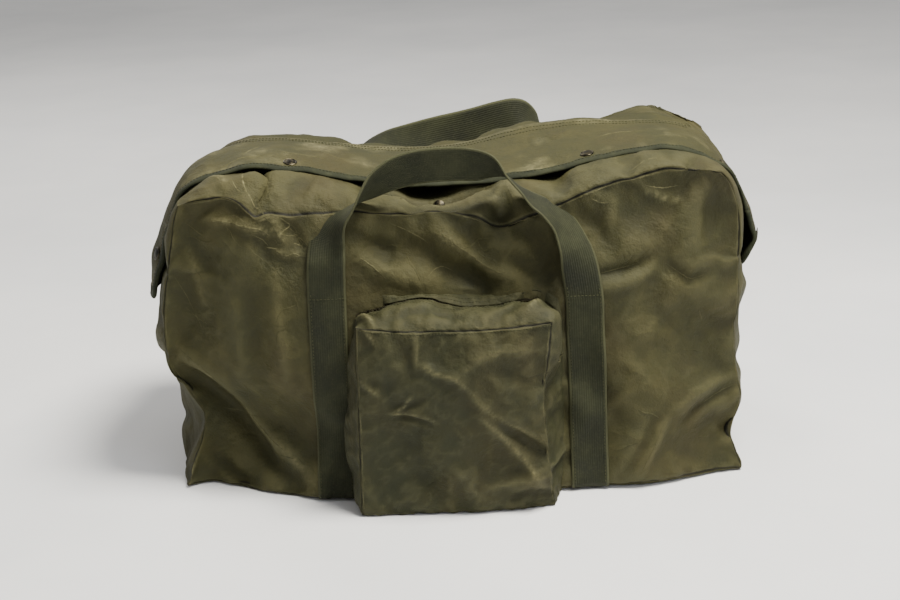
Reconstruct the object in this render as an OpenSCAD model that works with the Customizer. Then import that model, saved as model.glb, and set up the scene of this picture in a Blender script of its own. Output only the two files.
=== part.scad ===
// Canvas duffel bag: two side panels joined by a top, two ends and a bottom, a zipped mouth
// under a storm flap, two webbing handles and a zipped bellows pocket on the front.
// Millimetres. +X runs along the bag, -Y is the front with the pocket, +Z is up.
// The origin is the centre of the bottom panel's underside.

/* [Bag] */
// Length of the bag over its two end panels
bag_len = 600; // [520:5:720]
// Depth of the bag over its front and rear panels
bag_dep = 284; // [250:2:340]
// Height of the top canvas above the floor
bag_h = 320; // [290:2:380]
// Radius of the upper corners of the front and rear panels
corner_r = 40; // [24:1:60]
// Thickness of the canvas
canvas_t = 1.6; // [1:0.1:2.4]
// Width of the binding tape on the seams inside the bag
binding_w = 10; // [6:1:16]
// Thickness of the binding tape
binding_t = 0.8; // [0.5:0.1:1.4]

/* [Main zip] */
// How far below the top the zip ends on each end of the bag
zip_drop = 80; // [64:1:110]
// Space between the two rows of teeth with the zip undone
zip_gap = 6; // [5:0.5:9]
// Width of the zip tape behind the teeth
tape_w = 14; // [10:1:20]
// Thickness of the zip tape
tape_t = 1; // [0.6:0.1:1.4]
// Distance from the teeth to the edge of the canvas
tape_show = 5; // [4:0.5:8]
// Reach of one tooth from its tape
tooth_w = 4; // [3:0.25:5]
// Length of one tooth along the zip
tooth_l = 2.4; // [1.6:0.2:3]
// Height of one tooth
tooth_h = 3; // [2:0.2:4]
// Distance from tooth to tooth
tooth_pitch = 5; // [4:0.5:8]
// Length of the slider
slider_l = 16; // [12:1:22]
// Length of the pull tab
pull_l = 26; // [18:1:34]

/* [Storm flap] */
// Reach of the flap in front of the zip
flap_front = 95; // [75:1:110]
// Distance from the zip back to the seam that holds the flap
flap_rear = 35; // [30:1:50]
// Height of the flap above the top canvas
flap_rise = 11; // [9:0.5:16]
// Thickness of the flap, two layers of canvas
flap_t = 2.4; // [1.6:0.1:3.6]
// Width of the flap's sewn edge behind the seam
hem_w = 16; // [10:1:24]
// How far below the top the end tongues reach
tongue_drop = 104; // [88:1:130]
// Radius of the lower corners of the tongues
tongue_r = 16; // [8:1:26]
// Visible width of the tape round the flap's edge
edge_tape_w = 9; // [6:1:14]

/* [Press studs] */
// Distance between the press studs along the flap
snap_pitch = 150; // [100:5:170]
// Distance from the flap's front edge to the centres of the press studs
snap_inset = 18; // [14:1:26]
// Radius of the domed cap
cap_r = 7.5; // [6:0.25:9]
// Height of the cap
cap_h = 2; // [1.2:0.2:3]
// Radius of the socket and of the stud's flange
socket_r = 6.2; // [5:0.2:7]
// Height of the stud above the canvas
stud_h = 5; // [4:0.25:6]
// Radius of the stud's post
stud_r = 3.2; // [2.4:0.2:4]

/* [Handles] */
// Width of the webbing
strap_w = 38; // [30:1:50]
// Thickness of the webbing
strap_t = 2; // [1.4:0.1:3]
// Space between the pocket and the webbing on each side of it
strap_gap = 12.5; // [8:0.5:30]
// Distance from the top of the bag down to where the loops leave the panels
sew_drop = 80; // [66:1:120]
// Height of the middle of the grip above the top of the bag
grip_rise = 27; // [20:1:60]
// Radius of the roll where the webbing turns into the grip
roll_r = 11; // [6:0.5:14]
// Angle that the loops lean away from the bag
handle_lean = 10; // [9:0.5:20]

/* [Pocket] */
// Width of the pocket
pocket_w = 203; // [150:1:240]
// Height of the pocket
pocket_h = 210; // [170:1:225]
// Depth of the pocket
pocket_d = 64; // [50:1:80]
// Radius of the pocket's upper corners
pocket_r = 12; // [9:0.5:20]
// Distance from the front panel to the middle of the pocket zip
pocket_zip_y = 20; // [18:0.5:26]
// How far below its top the zip runs down the pocket's right side
pocket_zip_drop = 60; // [40:1:100]
// Space between the two rows of pocket teeth
pocket_zip_gap = 5.5; // [5:0.5:8]
// Width of the pocket zip's tape
pocket_tape_w = 9; // [6:0.5:10]
// Distance from the pocket teeth to the edge of the canvas
pocket_tape_show = 3; // [2.5:0.5:5]
// Reach of one pocket tooth
pocket_tooth_w = 3; // [2:0.25:3.5]
// Length of one pocket tooth along the zip
pocket_tooth_l = 1.8; // [1.2:0.1:2.4]
// Height of one pocket tooth
pocket_tooth_h = 2.4; // [1.6:0.1:3]
// Distance from tooth to tooth on the pocket
pocket_tooth_pitch = 4; // [3.5:0.5:6]
// Length of the pocket slider
pocket_slider_l = 12; // [9:1:16]
// Length of the pocket pull tab
pocket_pull_l = 24; // [16:1:30]

/* [Fits] */
// Gap left between pieces that move apart
move_gap = 0.3; // [0.2:0.05:0.6]
// Space round the teeth and tape inside a slider
slider_gap = 0.4; // [0.3:0.05:0.6]
// Wall of a slider round its channels
slider_wall = 1.3; // [1:0.1:1.8]
// Radius of the pin that carries a pull tab
pin_r = 0.9; // [0.7:0.05:1.2]
// Radial clearance of a pull tab on its pin
pin_gap = 0.1; // [0.05:0.01:0.1]
// Thickness of a pull tab
pull_t = 1.6; // [1.2:0.1:2]
// Width of a pull tab's eye on its pin
pull_eye_w = 5; // [4:0.25:6]
// Width of a pull tab beyond its slider
pull_w = 9; // [6:0.5:12]
// Distance between a zip's end and its first tooth, where the stop sits
stop_l = 5; // [4:0.5:8]

/* [Hidden] */
$fn = 64;

canvas_colour = "#5f5a3e";
flap_colour = "#6b6546";
webbing_colour = "#4a4c35";
tape_colour = "#3a4030";
metal_colour = "#8d7a4c";
dark_metal_colour = "#3b3a35";

far = 2000;                                // larger than the whole bag, for cutting shapes
overcut = 1;                               // how far a slot's cut runs past each end of a slider
stop_clear = 2;                            // bare tape between a stop and the nearest tooth
half_len = bag_len / 2;
half_dep = bag_dep / 2;
seam_z = bag_h - zip_drop;                 // where the end panels meet the top strips
arc_z = bag_h - corner_r;                  // where the upper corners begin
flat_x = half_len - corner_r;              // half the straight run of the top

zip_inset = canvas_t + tape_t / 2;         // the tape's mid-plane below the canvas
lip_y = zip_gap / 2 + tooth_w + tape_show; // edge of the canvas beside the main zip
slider_half_h = tooth_h / 2 + slider_gap + slider_wall;
slider_half_w = zip_gap / 2 + tooth_w + slider_gap + slider_wall;
pin_lift = pin_r + pin_gap + pull_t / 2 + move_gap; // pin's axis above a slider's top
eye_r = pin_lift - move_gap;               // outer radius of a pull tab's eye
slider_x = flat_x - slider_l;              // where the main slider is parked

snap_y = -flap_front + snap_inset;
snap_xs = [-snap_pitch, 0, snap_pitch];
tongue_snap_z = arc_z - snap_inset;
tongue_x = half_len + flap_rise;           // inner face of the tongues
tongue_y = flap_rear - hem_w;              // rear edge of the level part of the flap
tongue_end_z = bag_h - tongue_drop;
socket_h = flap_rise - stud_h - move_gap;
edge_tape_t = binding_t;

sew_z = bag_h - sew_drop;                  // where the loops leave the panels
strap_x = pocket_w / 2 + strap_gap + strap_w / 2;
grip_z = sew_drop + grip_rise;             // the grip's middle above the loop's lower end
roll_turn = PI * roll_r / sqrt(2);         // how far one corner roll shifts the webbing
roll_z = grip_z - roll_turn;               // where the roll's axis crosses the leg's middle
strap_end = roll_z + strap_x + roll_turn;  // webbing from a loop's end to the grip's middle
strap_step = 5;                            // spacing of the sections along the webbing
strap_cuts = 4;                            // divisions across the webbing

pocket_y = half_dep + pocket_d;            // the pocket's front face
pocket_zip_at = -(half_dep + pocket_zip_y);
pocket_arc_z = pocket_h - pocket_r;
pocket_zip_z = pocket_h - pocket_zip_drop;
pocket_flat_x = pocket_w / 2 - pocket_r;
pocket_lip = pocket_zip_gap / 2 + pocket_tooth_w + pocket_tape_show;
pocket_half_h = pocket_tooth_h / 2 + slider_gap + slider_wall;
pocket_half_w = pocket_zip_gap / 2 + pocket_tooth_w + slider_gap + slider_wall;
pocket_slider_x = pocket_flat_x - pocket_slider_l / 2;

// ---- Shapes shared by the bag and the pocket ----

// Outline of a panel seen from the front, with rounded upper corners, drawn inset all round.
module outline(w, h, r, inset) {
    rr = r - inset;
    difference() {
        translate([-w / 2 + inset, inset]) square([w - 2 * inset, h - 2 * inset]);
        for (side = [-1, 1]) translate([side * (w / 2 - r), h - r])
            translate([side > 0 ? 0 : -far, 0]) square(far);
    }
    for (side = [-1, 1]) translate([side * (w / 2 - r), h - r]) circle(rr);
}

// Stands a shape drawn in X and Z upright and gives it the depth y0 to y1.
module upright(y0, y1) {
    translate([0, y1, 0]) rotate([90, 0, 0]) linear_extrude(y1 - y0) children();
}

// Band between two insets of an outline, from y0 to y1, above its lower ends on each side.
module band(w, h, r, inset0, inset1, y0, y1, left_z, right_z) {
    upright(y0, y1) difference() {
        outline(w, h, r, inset0);
        outline(w, h, r, inset1);
        translate([-far, -far]) square([far, far + left_z]);
        translate([0, -far]) square([far, far + right_z]);
    }
}

// Point and turn of a zip's run at distance s from its lower left end.
function run(s, w, h, r, inset, left_z) =
    let (up = h - r - left_z, rr = r - inset, bend = rr * PI / 2, flat = w - 2 * r)
    s < up ? [-w / 2 + inset, left_z + s, -90] :
    s < up + bend ?
        let (a = (s - up) / rr * 180 / PI)
        [-w / 2 + r - rr * cos(a), h - r + rr * sin(a), a - 90] :
    s < up + bend + flat ? [-w / 2 + r + s - up - bend, h - inset, 0] :
    s < up + 2 * bend + flat ?
        let (a = (s - up - bend - flat) / rr * 180 / PI)
        [w / 2 - r + rr * sin(a), h - r + rr * cos(a), a] :
    [w / 2 - inset, h - r - (s - up - 2 * bend - flat), 90];

// Whole length of such a run.
function run_len(w, h, r, inset, left_z, right_z) =
    (h - r - left_z) + (h - r - right_z) + (r - inset) * PI + w - 2 * r;

// One row of separate teeth that stand on their tape's edge, on the given side of the zip.
module teeth(w, h, r, inset, left_z, right_z, y, side, gap, size, pitch) {
    total = run_len(w, h, r, inset, left_z, right_z);
    n = floor((total - 2 * stop_l - size[0]) / pitch);
    lead = (total - n * pitch) / 2;
    for (i = [0:n]) {
        p = run(lead + i * pitch, w, h, r, inset, left_z);
        translate([p[0], y + side * (gap + size[1]) / 2, p[1]]) rotate([0, p[2], 0])
            cube(size, center = true);
    }
}

// The two stops that join the tapes at the ends of a zip.
module stops(w, h, r, inset, left_z, right_z, y, gap, size) {
    total = run_len(w, h, r, inset, left_z, right_z);
    long = stop_l - stop_clear;
    for (s = [long / 2, total - long / 2]) {
        p = run(s, w, h, r, inset, left_z);
        translate([p[0], y, p[1]]) rotate([0, p[2], 0])
            cube([long, gap + 2 * size[1], size[2]], center = true);
    }
}

// Slider with a channel for each row of teeth, a slot for each tape and ears for the pull's pin.
module slider(long, half_w, half_h, gap, size) {
    channel_w = size[1] + 2 * slider_gap;
    channel_h = size[2] + 2 * slider_gap;
    slot_h = tape_t + 2 * slider_gap;
    difference() {
        cube([long, 2 * half_w, 2 * half_h], center = true);
        for (side = [-1, 1]) {
            translate([0, side * (gap + size[1]) / 2, 0])
                cube([long + 2 * overcut, channel_w, channel_h], center = true);
            translate([0, side * (gap / 2 + half_w), 0])
                cube([long + 2 * overcut, 2 * half_w, slot_h], center = true);
        }
    }
    pin_z = half_h + pin_lift;
    ear_y = pull_eye_w / 2 + move_gap;
    for (side = [-1, 1]) {
        translate([-pin_lift, side > 0 ? ear_y : -ear_y - slider_wall, half_h])
            cube([2 * pin_lift, slider_wall, pin_lift]);
        translate([0, side > 0 ? ear_y : -ear_y - slider_wall, pin_z]) rotate([-90, 0, 0])
            cylinder(h = slider_wall, r = pin_lift);
    }
    translate([0, -ear_y, pin_z]) rotate([-90, 0, 0]) cylinder(h = 2 * ear_y, r = pin_r);
}

// Pull tab lying to the left of its pin, whose axis is the origin.
module pull(long, half_slider) {
    neck = half_slider + 1;
    difference() {
        union() {
            translate([0, -pull_eye_w / 2, 0]) rotate([-90, 0, 0])
                cylinder(h = pull_eye_w, r = eye_r);
            translate([-neck, -pull_eye_w / 2, -pull_t / 2]) cube([neck, pull_eye_w, pull_t]);
            translate([-long + pull_w / 2, -pull_w / 2, -pull_t / 2])
                cube([long - pull_w / 2 - neck, pull_w, pull_t]);
            translate([-long + pull_w / 2, 0, -pull_t / 2]) cylinder(h = pull_t, r = pull_w / 2);
        }
        translate([0, -pull_w, 0]) rotate([-90, 0, 0]) cylinder(h = 2 * pull_w, r = pin_r + pin_gap);
        translate([-long + pull_w / 2, 0, -pull_t]) cylinder(h = 2 * pull_t, r = pull_w / 4);
    }
}

// Stud, socket and cap of a press stud, each standing on z = 0 and reaching upwards.
module stud() {
    cylinder(h = 1, r = socket_r);
    cylinder(h = stud_h, r = stud_r);
}

module socket() {
    cylinder(h = socket_h, r = socket_r);
}

module cap() {
    cylinder(h = cap_h / 2, r = cap_r);
    translate([0, 0, cap_h / 2]) cylinder(h = cap_h / 2, r1 = cap_r, r2 = cap_r * 0.7);
}

// ---- The bag's body ----

module panel(y0) {
    upright(y0, y0 + canvas_t) outline(bag_len, bag_h, corner_r, 0);
}

module front_panel() {
    color(canvas_colour) panel(-half_dep);
}

module rear_panel() {
    color(canvas_colour) panel(half_dep - canvas_t);
}

module bottom_panel() {
    color(canvas_colour) translate([-half_len, -half_dep + canvas_t, 0])
        cube([bag_len, bag_dep - 2 * canvas_t, canvas_t]);
}

module end_panel() {
    translate([half_len - canvas_t, -half_dep + canvas_t, canvas_t])
        cube([canvas_t, bag_dep - 2 * canvas_t, seam_z - canvas_t]);
}

module left_end_panel() {
    color(canvas_colour) mirror([1, 0, 0]) end_panel();
}

module right_end_panel() {
    color(canvas_colour) end_panel();
}

module bag_band(inset0, inset1, y0, y1, low_z) {
    band(bag_len, bag_h, corner_r, inset0, inset1, y0, y1, low_z, low_z);
}

module front_top_strip() {
    color(canvas_colour) bag_band(0, canvas_t, -half_dep + canvas_t, -lip_y, seam_z);
}

module rear_top_strip() {
    color(canvas_colour) bag_band(0, canvas_t, lip_y, half_dep - canvas_t, seam_z);
}

module seam_binding() {
    y = -half_dep + canvas_t;
    upright(y, y + binding_t) difference() {
        outline(bag_len, bag_h, corner_r, canvas_t);
        outline(bag_len, bag_h, corner_r, canvas_t + binding_w);
    }
}

module front_seam_binding() {
    color(tape_colour) seam_binding();
}

module rear_seam_binding() {
    color(tape_colour) mirror([0, 1, 0]) seam_binding();
}

// ---- The main zip ----

module zip_tape() {
    edge = zip_gap / 2 + tooth_w;
    bag_band(canvas_t, canvas_t + tape_t, -edge - tape_w, -edge, seam_z);
}

module front_zip_tape() {
    color(tape_colour) zip_tape();
}

module rear_zip_tape() {
    color(tape_colour) mirror([0, 1, 0]) zip_tape();
}

module zip_teeth(side) {
    teeth(bag_len, bag_h, corner_r, zip_inset, seam_z, seam_z, 0, side, zip_gap,
          [tooth_l, tooth_w, tooth_h], tooth_pitch);
}

module front_zip_teeth() {
    color(metal_colour) zip_teeth(-1);
}

module rear_zip_teeth() {
    color(metal_colour) zip_teeth(1);
}

module zip_stops() {
    color(metal_colour) stops(bag_len, bag_h, corner_r, zip_inset, seam_z, seam_z, 0, zip_gap,
                              [tooth_l, tooth_w, tooth_h]);
}

module zip_slider() {
    color(metal_colour) translate([slider_x, 0, bag_h - zip_inset])
        slider(slider_l, slider_half_w, slider_half_h, zip_gap, [tooth_l, tooth_w, tooth_h]);
}

module zip_pull() {
    color(metal_colour) translate([slider_x, 0, bag_h - zip_inset + slider_half_h + pin_lift])
        pull(pull_l, slider_l / 2);
}

// ---- The storm flap ----

module flap_hem() {
    color(flap_colour) translate([-flat_x, flap_rear + move_gap, bag_h])
        cube([2 * flat_x, hem_w, flap_t]);
}

// Level part of the flap, which also turns down over the bag's two upper corners.
module flap_band(grow, y0, y1) {
    bag_band(-flap_rise - flap_t - grow, -flap_rise + grow, y0, y1, arc_z);
}

// Sloping part of the flap between its level part and the seam that holds it.
module flap_slope() {
    low = bag_h + move_gap;
    high = bag_h + flap_rise;
    translate([-flat_x, 0, 0]) rotate([90, 0, 90]) linear_extrude(2 * flat_x) polygon([
        [flap_rear, low], [flap_rear, low + flap_t],
        [tongue_y, high + flap_t], [tongue_y, high]
    ]);
}

module storm_flap() {
    color(flap_colour) {
        flap_band(0, -flap_front, tongue_y);
        flap_slope();
    }
}

module flap_edge_tape() {
    color(tape_colour) difference() {
        flap_band(edge_tape_t, -flap_front - edge_tape_t, -flap_front + edge_tape_w);
        flap_band(0, -flap_front, tongue_y);
    }
}

module flap_snap_caps() {
    color(dark_metal_colour) for (x = snap_xs)
        translate([x, snap_y, bag_h + flap_rise + flap_t]) cap();
}

module flap_snap_sockets() {
    color(metal_colour) for (x = snap_xs)
        translate([x, snap_y, bag_h + flap_rise - socket_h]) socket();
}

// Studs along the top and one on each end, all on the front strip.
module snap_studs() {
    color(metal_colour) {
        for (x = snap_xs) translate([x, snap_y, bag_h]) stud();
        for (side = [-1, 1]) translate([side * half_len, snap_y, tongue_snap_z])
            rotate([0, side * 90, 0]) stud();
    }
}

// Outline of a tongue in Y and Z, drawn inset all round except at its upper edge.
module tongue_outline(inset) {
    y0 = -flap_front + inset;
    y1 = tongue_y - inset;
    z0 = tongue_end_z + inset;
    r = tongue_r - inset;
    top = arc_z - move_gap;
    translate([y0, z0 + r]) square([y1 - y0, top - z0 - r]);
    translate([y0 + r, z0]) square([y1 - y0 - 2 * r, r]);
    translate([y0 + r, z0 + r]) circle(r);
    translate([y1 - r, z0 + r]) circle(r);
}

// Gives a shape drawn in Y and Z a thickness along X, outside the right end of the bag.
module on_end(x0, x1) {
    translate([x0, 0, 0]) rotate([90, 0, 90]) linear_extrude(x1 - x0) children();
}

module tongue() {
    on_end(tongue_x, tongue_x + flap_t) tongue_outline(0);
}

module tongue_tape() {
    difference() {
        on_end(tongue_x - edge_tape_t, tongue_x + flap_t + edge_tape_t)
            tongue_outline(-edge_tape_t);
        on_end(tongue_x - 2 * edge_tape_t, tongue_x + flap_t + 2 * edge_tape_t) difference() {
            tongue_outline(edge_tape_w);
            translate([-far, arc_z]) square([2 * far, far]);
        }
        tongue();
    }
}

module tongue_snap() {
    translate([tongue_x, snap_y, tongue_snap_z]) rotate([0, 90, 0]) {
        translate([0, 0, flap_t]) cap();
        translate([0, 0, -socket_h]) socket();
    }
}

module left_tongue() {
    color(flap_colour) mirror([1, 0, 0]) tongue();
}

module left_tongue_tape() {
    color(tape_colour) mirror([1, 0, 0]) tongue_tape();
}

module left_tongue_snap() {
    color(dark_metal_colour) mirror([1, 0, 0]) tongue_snap();
}

module right_tongue() {
    color(flap_colour) tongue();
}

module right_tongue_tape() {
    color(tape_colour) tongue_tape();
}

module right_tongue_snap() {
    color(dark_metal_colour) tongue_snap();
}

// ---- The handles ----

module handle_legs() {
    for (side = [-1, 1]) translate([side * strap_x - strap_w / 2, -half_dep - strap_t, 0])
        cube([strap_w, strap_t, sew_z]);
}

// Place of a point of the left half of a loop: u along the webbing from the loop's lower end,
// w across it and n out of its face. The webbing rises, rolls back over an axis at 45 degrees
// and runs on level, one roll's width behind the leg.
function strap_point(u, w, n) =
    let (along = (w + u - roll_z) / sqrt(2), over = (u - roll_z - w) / sqrt(2),
         a = min(max(over / roll_r, 0), PI) * 180 / PI,
         past = over < 0 ? over : over < PI * roll_r ? 0 : PI * roll_r - over,
         up = past + (roll_r + n) * sin(a),
         back = roll_r - (roll_r + n) * cos(a))
    [-strap_x + (along - up) / sqrt(2), back, roll_z + (along + up) / sqrt(2)];

// Closed section of the webbing at u, as the points of its outer and then its inner face.
function strap_section(u) = concat(
    [for (j = [0:strap_cuts]) strap_point(u, strap_w * (j / strap_cuts - 0.5), strap_t / 2)],
    [for (j = [strap_cuts:-1:0]) strap_point(u, strap_w * (j / strap_cuts - 0.5), -strap_t / 2)]
);

module handle_loop() {
    half = [for (i = [0:ceil(strap_end / strap_step)])
        strap_section(max(min(i * strap_step, strap_end), move_gap))];
    last = len(half) - 1;
    whole = concat(half, [for (i = [last - 1:-1:0]) [for (p = half[i]) [-p[0], p[1], p[2]]]]);
    rings = len(whole);
    m = 2 * (strap_cuts + 1);
    translate([0, -half_dep - strap_t, sew_z]) rotate([handle_lean, 0, 0])
        translate([0, strap_t / 2, 0])
        polyhedron(
            points = [for (ring = whole) each ring],
            faces = concat(
                [for (j = [0:strap_cuts - 1]) [j, j + 1, m - 2 - j, m - 1 - j]],
                [for (i = [0:rings - 2], j = [0:m - 1])
                    [i * m + j, (i + 1) * m + j, i * m + (j + 1) % m]],
                [for (i = [0:rings - 2], j = [0:m - 1])
                    [(i + 1) * m + j, (i + 1) * m + (j + 1) % m, i * m + (j + 1) % m]],
                [for (j = [0:strap_cuts - 1], k = (rings - 1) * m)
                    [k + m - 1 - j, k + m - 2 - j, k + j + 1, k + j]]
            )
        );
}

module front_handle_legs() {
    color(webbing_colour) handle_legs();
}

module rear_handle_legs() {
    color(webbing_colour) mirror([0, 1, 0]) handle_legs();
}

module front_handle() {
    color(webbing_colour) handle_loop();
}

module rear_handle() {
    color(webbing_colour) mirror([0, 1, 0]) handle_loop();
}

// ---- The pocket ----

module pocket_front() {
    color(canvas_colour) upright(-pocket_y, -pocket_y + canvas_t)
        outline(pocket_w, pocket_h, pocket_r, 0);
}

module pocket_gusset(side, top) {
    translate([side > 0 ? pocket_w / 2 - canvas_t : -pocket_w / 2, -pocket_y + canvas_t, canvas_t])
        cube([canvas_t, pocket_d - canvas_t, top - canvas_t]);
}

module pocket_left_gusset() {
    color(canvas_colour) pocket_gusset(-1, pocket_arc_z);
}

module pocket_right_gusset() {
    color(canvas_colour) pocket_gusset(1, pocket_zip_z);
}

module pocket_bottom() {
    color(canvas_colour) translate([-pocket_w / 2, -pocket_y + canvas_t, 0])
        cube([pocket_w, pocket_d - canvas_t, canvas_t]);
}

// Part of the pocket's top that starts above the left gusset, crosses the top and runs down
// the right side to the end of the zip.
module pocket_band(inset0, inset1, y0, y1) {
    band(pocket_w, pocket_h, pocket_r, inset0, inset1, y0, y1, pocket_arc_z, pocket_zip_z);
}

module pocket_front_lip() {
    color(canvas_colour)
        pocket_band(0, canvas_t, -pocket_y + canvas_t, pocket_zip_at - pocket_lip);
}

module pocket_rear_lip() {
    color(canvas_colour) pocket_band(0, canvas_t, pocket_zip_at + pocket_lip, -half_dep);
}

module pocket_tape(side) {
    near = pocket_zip_gap / 2 + pocket_tooth_w;
    away = near + pocket_tape_w;
    pocket_band(canvas_t, canvas_t + tape_t, pocket_zip_at + (side > 0 ? near : -away),
                pocket_zip_at + (side > 0 ? away : -near));
}

module pocket_front_tape() {
    color(tape_colour) pocket_tape(-1);
}

module pocket_rear_tape() {
    color(tape_colour) pocket_tape(1);
}

module pocket_teeth(side) {
    teeth(pocket_w, pocket_h, pocket_r, zip_inset, pocket_arc_z, pocket_zip_z, pocket_zip_at,
          side, pocket_zip_gap, [pocket_tooth_l, pocket_tooth_w, pocket_tooth_h],
          pocket_tooth_pitch);
}

module pocket_front_teeth() {
    color(dark_metal_colour) pocket_teeth(-1);
}

module pocket_rear_teeth() {
    color(dark_metal_colour) pocket_teeth(1);
}

module pocket_zip_stops() {
    color(dark_metal_colour)
        stops(pocket_w, pocket_h, pocket_r, zip_inset, pocket_arc_z, pocket_zip_z,
              pocket_zip_at, pocket_zip_gap, [pocket_tooth_l, pocket_tooth_w, pocket_tooth_h]);
}

module pocket_zip_slider() {
    color(dark_metal_colour) translate([pocket_slider_x, pocket_zip_at, pocket_h - zip_inset])
        slider(pocket_slider_l, pocket_half_w, pocket_half_h, pocket_zip_gap,
               [pocket_tooth_l, pocket_tooth_w, pocket_tooth_h]);
}

module pocket_zip_pull() {
    color(dark_metal_colour)
        translate([pocket_slider_x, pocket_zip_at,
                   pocket_h - zip_inset + pocket_half_h + pin_lift])
        pull(pocket_pull_l, pocket_slider_l / 2);
}

front_panel();
rear_panel();
bottom_panel();
left_end_panel();
right_end_panel();
front_top_strip();
rear_top_strip();
front_seam_binding();
rear_seam_binding();
front_zip_tape();
rear_zip_tape();
front_zip_teeth();
rear_zip_teeth();
zip_stops();
zip_slider();
zip_pull();
flap_hem();
snap_studs();
storm_flap();
flap_edge_tape();
flap_snap_caps();
flap_snap_sockets();
left_tongue();
left_tongue_tape();
left_tongue_snap();
right_tongue();
right_tongue_tape();
right_tongue_snap();
front_handle_legs();
rear_handle_legs();
front_handle();
rear_handle();
pocket_front();
pocket_left_gusset();
pocket_right_gusset();
pocket_bottom();
pocket_front_lip();
pocket_rear_lip();
pocket_front_tape();
pocket_rear_tape();
pocket_front_teeth();
pocket_rear_teeth();
pocket_zip_stops();
pocket_zip_slider();
pocket_zip_pull();
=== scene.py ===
import math

import bmesh
import bpy
import numpy as np
from mathutils import Matrix, Vector, noise
from mathutils.bvhtree import BVHTree


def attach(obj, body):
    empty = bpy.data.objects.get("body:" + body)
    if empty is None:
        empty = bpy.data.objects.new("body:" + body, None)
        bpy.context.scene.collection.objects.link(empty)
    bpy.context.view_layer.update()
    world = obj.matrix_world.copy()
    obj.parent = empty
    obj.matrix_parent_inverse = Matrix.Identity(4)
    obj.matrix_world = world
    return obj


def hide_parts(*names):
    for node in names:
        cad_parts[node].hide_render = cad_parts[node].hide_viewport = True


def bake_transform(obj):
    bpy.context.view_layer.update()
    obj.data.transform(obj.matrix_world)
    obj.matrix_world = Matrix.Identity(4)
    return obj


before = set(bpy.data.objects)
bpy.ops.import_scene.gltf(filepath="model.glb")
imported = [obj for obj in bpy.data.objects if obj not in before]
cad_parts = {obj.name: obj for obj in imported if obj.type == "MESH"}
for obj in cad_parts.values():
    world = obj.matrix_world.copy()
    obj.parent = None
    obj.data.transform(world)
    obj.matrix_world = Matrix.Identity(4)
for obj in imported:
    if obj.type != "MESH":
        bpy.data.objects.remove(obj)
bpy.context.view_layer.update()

# ---- Table, light and camera ----
# A large pale matt table top under the bag, a broad soft light from the upper right with a
# weaker one to fill, and a standing eye's view of the bag's front.

scene = bpy.context.scene


def linear(code):
    """Linear colour of an sRGB hex value."""
    parts = [int(code[i : i + 2], 16) / 255 for i in (0, 2, 4)]
    return [c / 12.92 if c < 0.04045 else ((c + 0.055) / 1.055) ** 2.4 for c in parts] + [1.0]


def add(tree, kind, settings=None, **links):
    """Adds a node, sets its properties, and sets or links its inputs by name or number. A node
    given for an input stands for its first output, and a ramp's stops are places and colours."""
    node = tree.nodes.new("ShaderNode" + kind)
    for name, value in (settings or {}).items():
        if name != "stops":
            setattr(node, name, value)
            continue
        elements = node.color_ramp.elements
        elements.remove(elements[1])
        for i, (place, colour) in enumerate(value):
            element = elements[0] if i == 0 else elements.new(place)
            element.position = place
            element.color = linear(colour)
    for name, value in links.items():
        socket = node.inputs[int(name[1:]) if name[1:].isdigit() else name.replace("_", " ")]
        if isinstance(value, bpy.types.Node):
            value = value.outputs[0]
        if isinstance(value, bpy.types.NodeSocket):
            tree.links.new(value, socket)
        else:
            socket.default_value = linear(value) if isinstance(value, str) else value
    return node


def new_material(name):
    """An empty node material with its output and Principled shader."""
    material = bpy.data.materials.new(name)
    material.use_nodes = True
    tree = material.node_tree
    tree.nodes.clear()
    out = tree.nodes.new("ShaderNodeOutputMaterial")
    shader = tree.nodes.new("ShaderNodeBsdfPrincipled")
    tree.links.new(shader.outputs["BSDF"], out.inputs["Surface"])
    return material, tree, shader


def table_top():
    """White laminate: smooth, matt, with a trace of cloudiness from wiping."""
    material, tree, shader = new_material("white_laminate")
    where = add(tree, "TexCoord").outputs["Object"]
    cloud = add(tree, "TexNoise", None, Vector=where, Scale=1.6, Detail=4.0, Roughness=0.6)
    colour = add(tree, "ValToRGB", {"stops": [(0.35, "dfe1e4"), (0.65, "ecedef")]}, Fac=cloud)
    tree.links.new(colour.outputs[0], shader.inputs["Base Color"])
    shader.inputs["Roughness"].default_value = 0.55
    shader.inputs["IOR"].default_value = 1.45
    return material


table_size = 24.0
bpy.ops.mesh.primitive_plane_add(size=table_size, location=(0, 0, 0))
table = bpy.context.object
table.name = "table"
table.data.materials.append(table_top())

world = bpy.data.worlds.new("studio")
scene.world = world
world.use_nodes = True
sky = world.node_tree.nodes["Background"]
sky.inputs["Color"].default_value = linear("e4e2df")
sky.inputs["Strength"].default_value = 0.55


def soft_light(name, place, aim, size, power, colour):
    """A round soft box of a light, turned towards a place."""
    data = bpy.data.lights.new(name, "AREA")
    data.shape = "DISK"
    data.size = size
    data.energy = power
    data.color = linear(colour)[:3]
    light = bpy.data.objects.new(name, data)
    scene.collection.objects.link(light)
    light.location = place
    light.rotation_euler = (Vector(aim) - Vector(place)).to_track_quat("-Z", "Y").to_euler()


soft_light("ceiling_light", (0.65, -0.42, 2.1), (0, 0, 0.15), 0.8, 122, "fcf7ea")
soft_light("window_light", (1.5, -1.9, 1.6), (0, 0, 0.15), 1.2, 15, "f3f6ff")
soft_light("rear_light", (-1.2, 1.7, 1.7), (0, 0, 0.2), 1.2, 24, "f6f2ea")

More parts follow.
